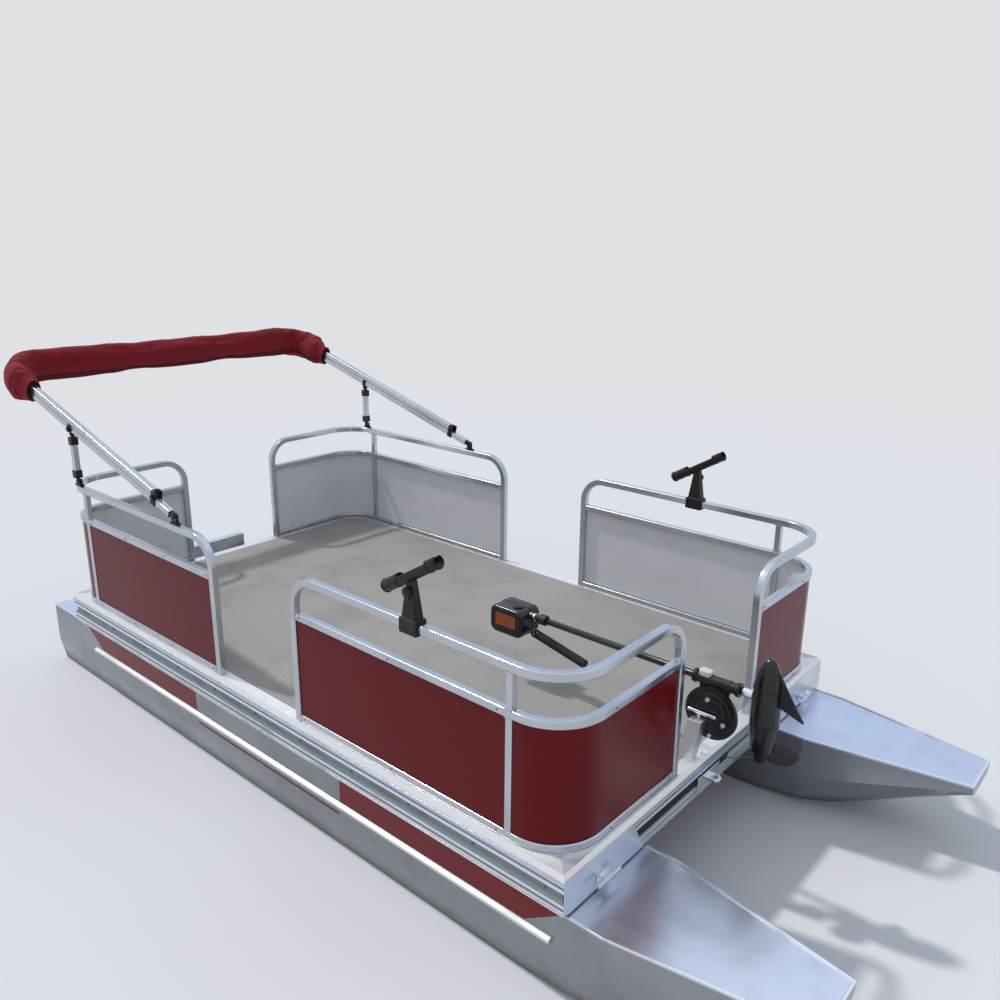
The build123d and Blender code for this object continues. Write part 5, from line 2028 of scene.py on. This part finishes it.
    def disc(self) -> None:
        """The tilt disc with its raised rim, rings and four bolts."""
        profile = [(0, 0.104), (0.001, 0.105), (0.0125, 0.105), (0.013, 0.103), (0.013, 0.095)]
        profile += [(0.0095, 0.092), (0.0095, 0.078), (0.0115, 0.076), (0.0115, 0.070)]
        profile += [(0.0095, 0.068), (0.0095, 0.052), (0.0120, 0.049), (0.0120, 0.036)]
        profile += [(0.0100, 0.033), (0.0100, 0.0)]
        plate = Shape().lathe(self.disc_centre, STARBOARD, profile, 72)
        slot = self.shop.slots["motor_disc"]
        self.shop.piece("motor_disc_plate", plate, "black_paint", "hull", slot, ["motor_disc"])
        bolts = Shape()
        head = [(0, 0.0080), (0.0040, 0.0080), (0.0052, 0.0068), (0.0055, 0.0)]
        washer = [(0, 0.0105), (0.0018, 0.0105), (0.0022, 0.0098)]
        for x, z in self.disc_bolts:
            bolts.lathe(Vector((x, self.disc_centre.y - 0.0095, z)), STARBOARD, head, 6)
            bolts.lathe(Vector((x, self.disc_centre.y - 0.0085, z)), STARBOARD, washer, 20)
        self.shop.piece(
            "motor_disc_bolts", bolts, "bright_steel", "hull", "mill_aluminium", bevel=0.0006
        )

    def arm(self) -> None:
        """The arm with its sleeve's raised rings, and the pale knob."""
        self.shop.eased("motor_arm", "black_paint", 0.0018)
        rings = Shape()
        broad = [(0, 0.0245), (0.002, 0.0268), (0.014, 0.0268), (0.016, 0.0245)]
        for x in self.sleeve_rings:
            rings.lathe(self.at(x), FORWARD, broad, 40)
        narrow = [(0, 0.0225), (0.001, 0.0238), (0.005, 0.0238), (0.006, 0.0225)]
        rings.lathe(self.at(self.sleeve_seam), FORWARD, narrow, 40)
        self.shop.piece(
            "motor_sleeve_rings",
            rings,
            "black_nylon",
            "motor_arm",
            "black_nylon",
            shading=Shading.ROUND,
        )
        self.shop.eased("motor_knob", "white_plastic", 0.0055, segments=4)

    def collar(self) -> None:
        """The collar on the shaft, with ribs along it for the fingers."""
        profile = [(0, 0.0200), (0.002, 0.0222), (0.032, 0.0222), (0.034, 0.0200)]
        shape = Shape().lathe(self.at(self.collar_x), FORWARD, profile, 36)
        for index in range(self.collar_ribs):
            turn = 2 * pi * index / self.collar_ribs
            out = Vector((0, cos(turn), sin(turn)))
            start = self.at(self.collar_x + 0.004) + out * 0.0215
            shape.sweep([start, start + FORWARD * 0.026], circle(0.0013, 6), out)
        slot = self.shop.slots["motor_collar"]
        self.shop.piece(
            "motor_collar_ring", shape, "black_nylon", "motor_collar", slot, ["motor_collar"]
        )

    def head(self) -> None:
        """The control head with its label blocks, seam and dial."""
        length, width, height = self.head_size
        case = Shape()
        outline = rounded(length, height, self.head_corner, 6)
        case.slab(self.head_centre, FORWARD, UP, outline, width)
        self.shop.piece(
            "motor_head_case",
            case,
            "black_paint",
            "motor_shaft",
            self.shop.slots["motor_head"],
            ["motor_head"],
            bevel=0.012,
            segments=4,
        )
        label = Shape()
        for side in SIDES.values():
            middle = self.head_centre + Vector((0, side * (width / 2 + 0.0002), 0.006))
            label.slab(middle, FORWARD, UP, rounded(0.112, 0.056, 0.008), 0.0012)
        self.shop.piece("motor_head_label", label, "label", "motor_shaft", "black_paint")
        trim = Shape()
        proud = 0.0012
        outline = rounded(length + proud, height + proud, self.head_corner, 6)
        seam = [self.head_centre + Vector((x, 0.012, z)) for x, z in outline]
        trim.sweep(seam, circle(0.0016, 8), PORT, closed=True)
        dial = [(0, 0.022), (0.003, 0.024), (0.004, 0.024), (0.006, 0.020), (0.0065, 0.0)]
        trim.lathe(self.head_centre + Vector((0.03, -0.010, height / 2)), UP, dial, 32)
        self.shop.piece(
            "motor_head_trim",
            trim,
            "black_nylon",
            "motor_shaft",
            "black_paint",
            shading=Shading.ROUND,
        )

    def grip(self) -> None:
        """The tiller's ribbed rubber grip."""
        ahead = Vector((cos(self.grip_droop), 0, -sin(self.grip_droop)))
        profile = [(0.018, 0.0150), (0.020, 0.0168), (0.060, 0.0168), (0.062, 0.0185)]
        for rib in range(self.grip_ribs):
            start = 0.066 + rib * 0.0125
            profile += [(start, 0.0178), (start + 0.002, 0.0190)]
            profile += [(start + 0.008, 0.0190), (start + 0.010, 0.0178)]
        profile += [(0.268, 0.0190), (0.274, 0.0160), (0.275, 0.0)]
        handle = Shape().lathe(self.grip_root, ahead, profile, 28)
        body = body_of(self.shop.frame["nodes"]["motor_grip"])[0]
        slot = self.shop.slots["motor_grip"]
        self.shop.piece("motor_grip_handle", handle, "rubber", body, slot)
        self.shop.eased("motor_grip", "rubber", 0.0012, name="motor_grip_root")

    def riser(self) -> None:
        """The bright riser with its foot bolts, and the lever."""
        self.shop.eased("motor_riser", "riser", 0.0012)
        bolts = Shape()
        head = [(0, 0.0075), (0.001, 0.0075), (0.0045, 0.0065), (0.005, 0)]
        for x in self.riser_bolts_x:
            for y in self.riser_bolts_y:
                bolts.lathe(Vector((x, y, DECK_TOP + 0.004)), UP, head, 6)
        self.shop.piece("motor_riser_bolts", bolts, "bright_steel", "hull", "mill_aluminium")
        profile = [(0, 0.004), (0.002, 0.0065), (0.006, 0.007)]
        profile += [(0.112, 0.007), (0.116, 0.0065), (0.118, 0.004)]
        lever = Shape().lathe(self.lever_end, FORWARD, profile, 24)
        self.shop.piece(
            "motor_lever_bar",
            lever,
            "bright_steel",
            "hull",
            self.shop.slots["motor_lever"],
            ["motor_lever"],
            shading=Shading.ROUND,
        )

    def build(self) -> None:
        """Makes and dresses the trolling motor."""
        self.riser()
        self.disc()
        self.arm()
        self.collar()
        self.shaft()
        self.pod_body()
        self.propeller()
        self.head()
        self.grip()


@dataclass
class RodHolders:
    """A clamp and an open cradle on each side rail."""

    shop: Workshop
    x: float = 0.89404
    cradle_z: float = 1.431
    knuckle_z: float = 1.372
    ring_z: float = 1.343
    outer: float = 0.024
    inner: float = 0.020
    tilt: float = radians(31)
    stretches: Sequence[tuple[float, float, float]] = (
        (-0.150, -0.062, 8),
        (-0.062, 0.098, 62),
        (0.098, 0.150, 34),
    )
    closed_bead: float = -0.144
    open_beads: Sequence[float] = (-0.068, 0.104, 0.144)
    bead: float = 0.0024
    bead_top: float = 0.016
    ball: float = 0.022

    def cradle(self, shape: Shape, side: int) -> None:
        """Adds a tube that is nearly closed round its rear third and open on top ahead of it.

        Args:
            shape: The shape that takes it.
            side: -1 to starboard, 1 to port.
        """
        ahead = Vector((cos(self.tilt), 0, sin(self.tilt)))
        up = Vector((-sin(self.tilt), 0, cos(self.tilt)))
        middle = Vector((self.x, side * RAIL_LINE, self.cradle_z))
        steps = 24
        for start, end, half_open in self.stretches:
            turn = (360 - 2 * half_open) / steps
            angles = [radians(90 + half_open + turn * step) for step in range(steps + 1)]
            outline = [(self.outer * cos(a), self.outer * sin(a)) for a in angles]
            outline += [(self.inner * cos(a), self.inner * sin(a)) for a in reversed(angles)]
            shape.rings(
                [
                    [middle + ahead * along + PORT * x + up * y for x, y in outline]
                    for along in (start, end)
                ]
            )
        for along in (self.closed_bead, *self.open_beads):
            centre = middle + ahead * along
            offsets = [PORT * x + up * y for x, y in circle(self.outer, 32)]
            if along != self.closed_bead:
                offsets = [offset for offset in offsets if offset.dot(up) < self.bead_top]
                offsets.sort(key=lambda offset: self.angle(offset, up))
            line = [centre + offset for offset in offsets]
            shape.sweep(line, circle(self.bead, 8), ahead, closed=along == self.closed_bead)

    @staticmethod
    def angle(offset: Vector, up: Vector) -> float:
        """How far round an offset lies, from straight down, with its side's sign."""
        down = offset.angle(-up)
        return down if offset.y > 0 else -down

    def knuckle(self, shape: Shape, side: int) -> None:
        """Adds the ball joint under a cradle, its wheel and the ring on the post.

        Args:
            shape: The shape that takes it.
            side: -1 to starboard, 1 to port.
        """
        spot = Vector((self.x, side * RAIL_LINE, self.knuckle_z))
        steps = 10
        ball = [
            (self.ball * (2 * step / steps - 1), self.ball * sin(pi * step / steps))
            for step in range(steps + 1)
        ]
        shape.lathe(spot, PORT, ball, 24)
        wheel = [(0.020, 0.012), (0.022, 0.019), (0.030, 0.019), (0.032, 0.016), (0.032, 0.0)]
        shape.lathe(spot, PORT * side, wheel, 14)
        ring = [(-0.004, 0.017), (-0.002, 0.020), (0.006, 0.020), (0.008, 0.017)]
        shape.lathe(Vector((spot.x, spot.y, self.ring_z)), UP, ring, 28)

    def build(self) -> None:
        """Makes and dresses both rod holders."""
        self.shop.eased("rod_holder_clamps", "black_nylon", 0.0035, segments=3)
        cradles, knuckles = Shape(), Shape()
        for side in SIDES.values():
            self.cradle(cradles, side)
            self.knuckle(knuckles, side)
        slot = self.shop.slots["rod_holder_tubes"]
        self.shop.piece(
            "rod_holder_cradles", cradles, "black_nylon", "hull", slot, ["rod_holder_tubes"]
        )
        self.shop.piece(
            "rod_holder_knuckles",
            knuckles,
            "black_nylon",
            "hull",
            "black_nylon",
            shading=Shading.ROUND,
        )


def main() -> None:
    """Builds the scene in order."""
    logging.basicConfig(level=logging.INFO, format="%(name)s: %(message)s")
    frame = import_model()
    Studio().build()
    shop = Workshop(frame)
    shop.mix_finishes()
    for assembly in (Hull(shop), Fences(shop), Bimini(shop), TrollingMotor(shop), RodHolders(shop)):
        assembly.build()
        LOG.info("built %s", type(assembly).__name__)


if __name__ == "__main__":
    main()
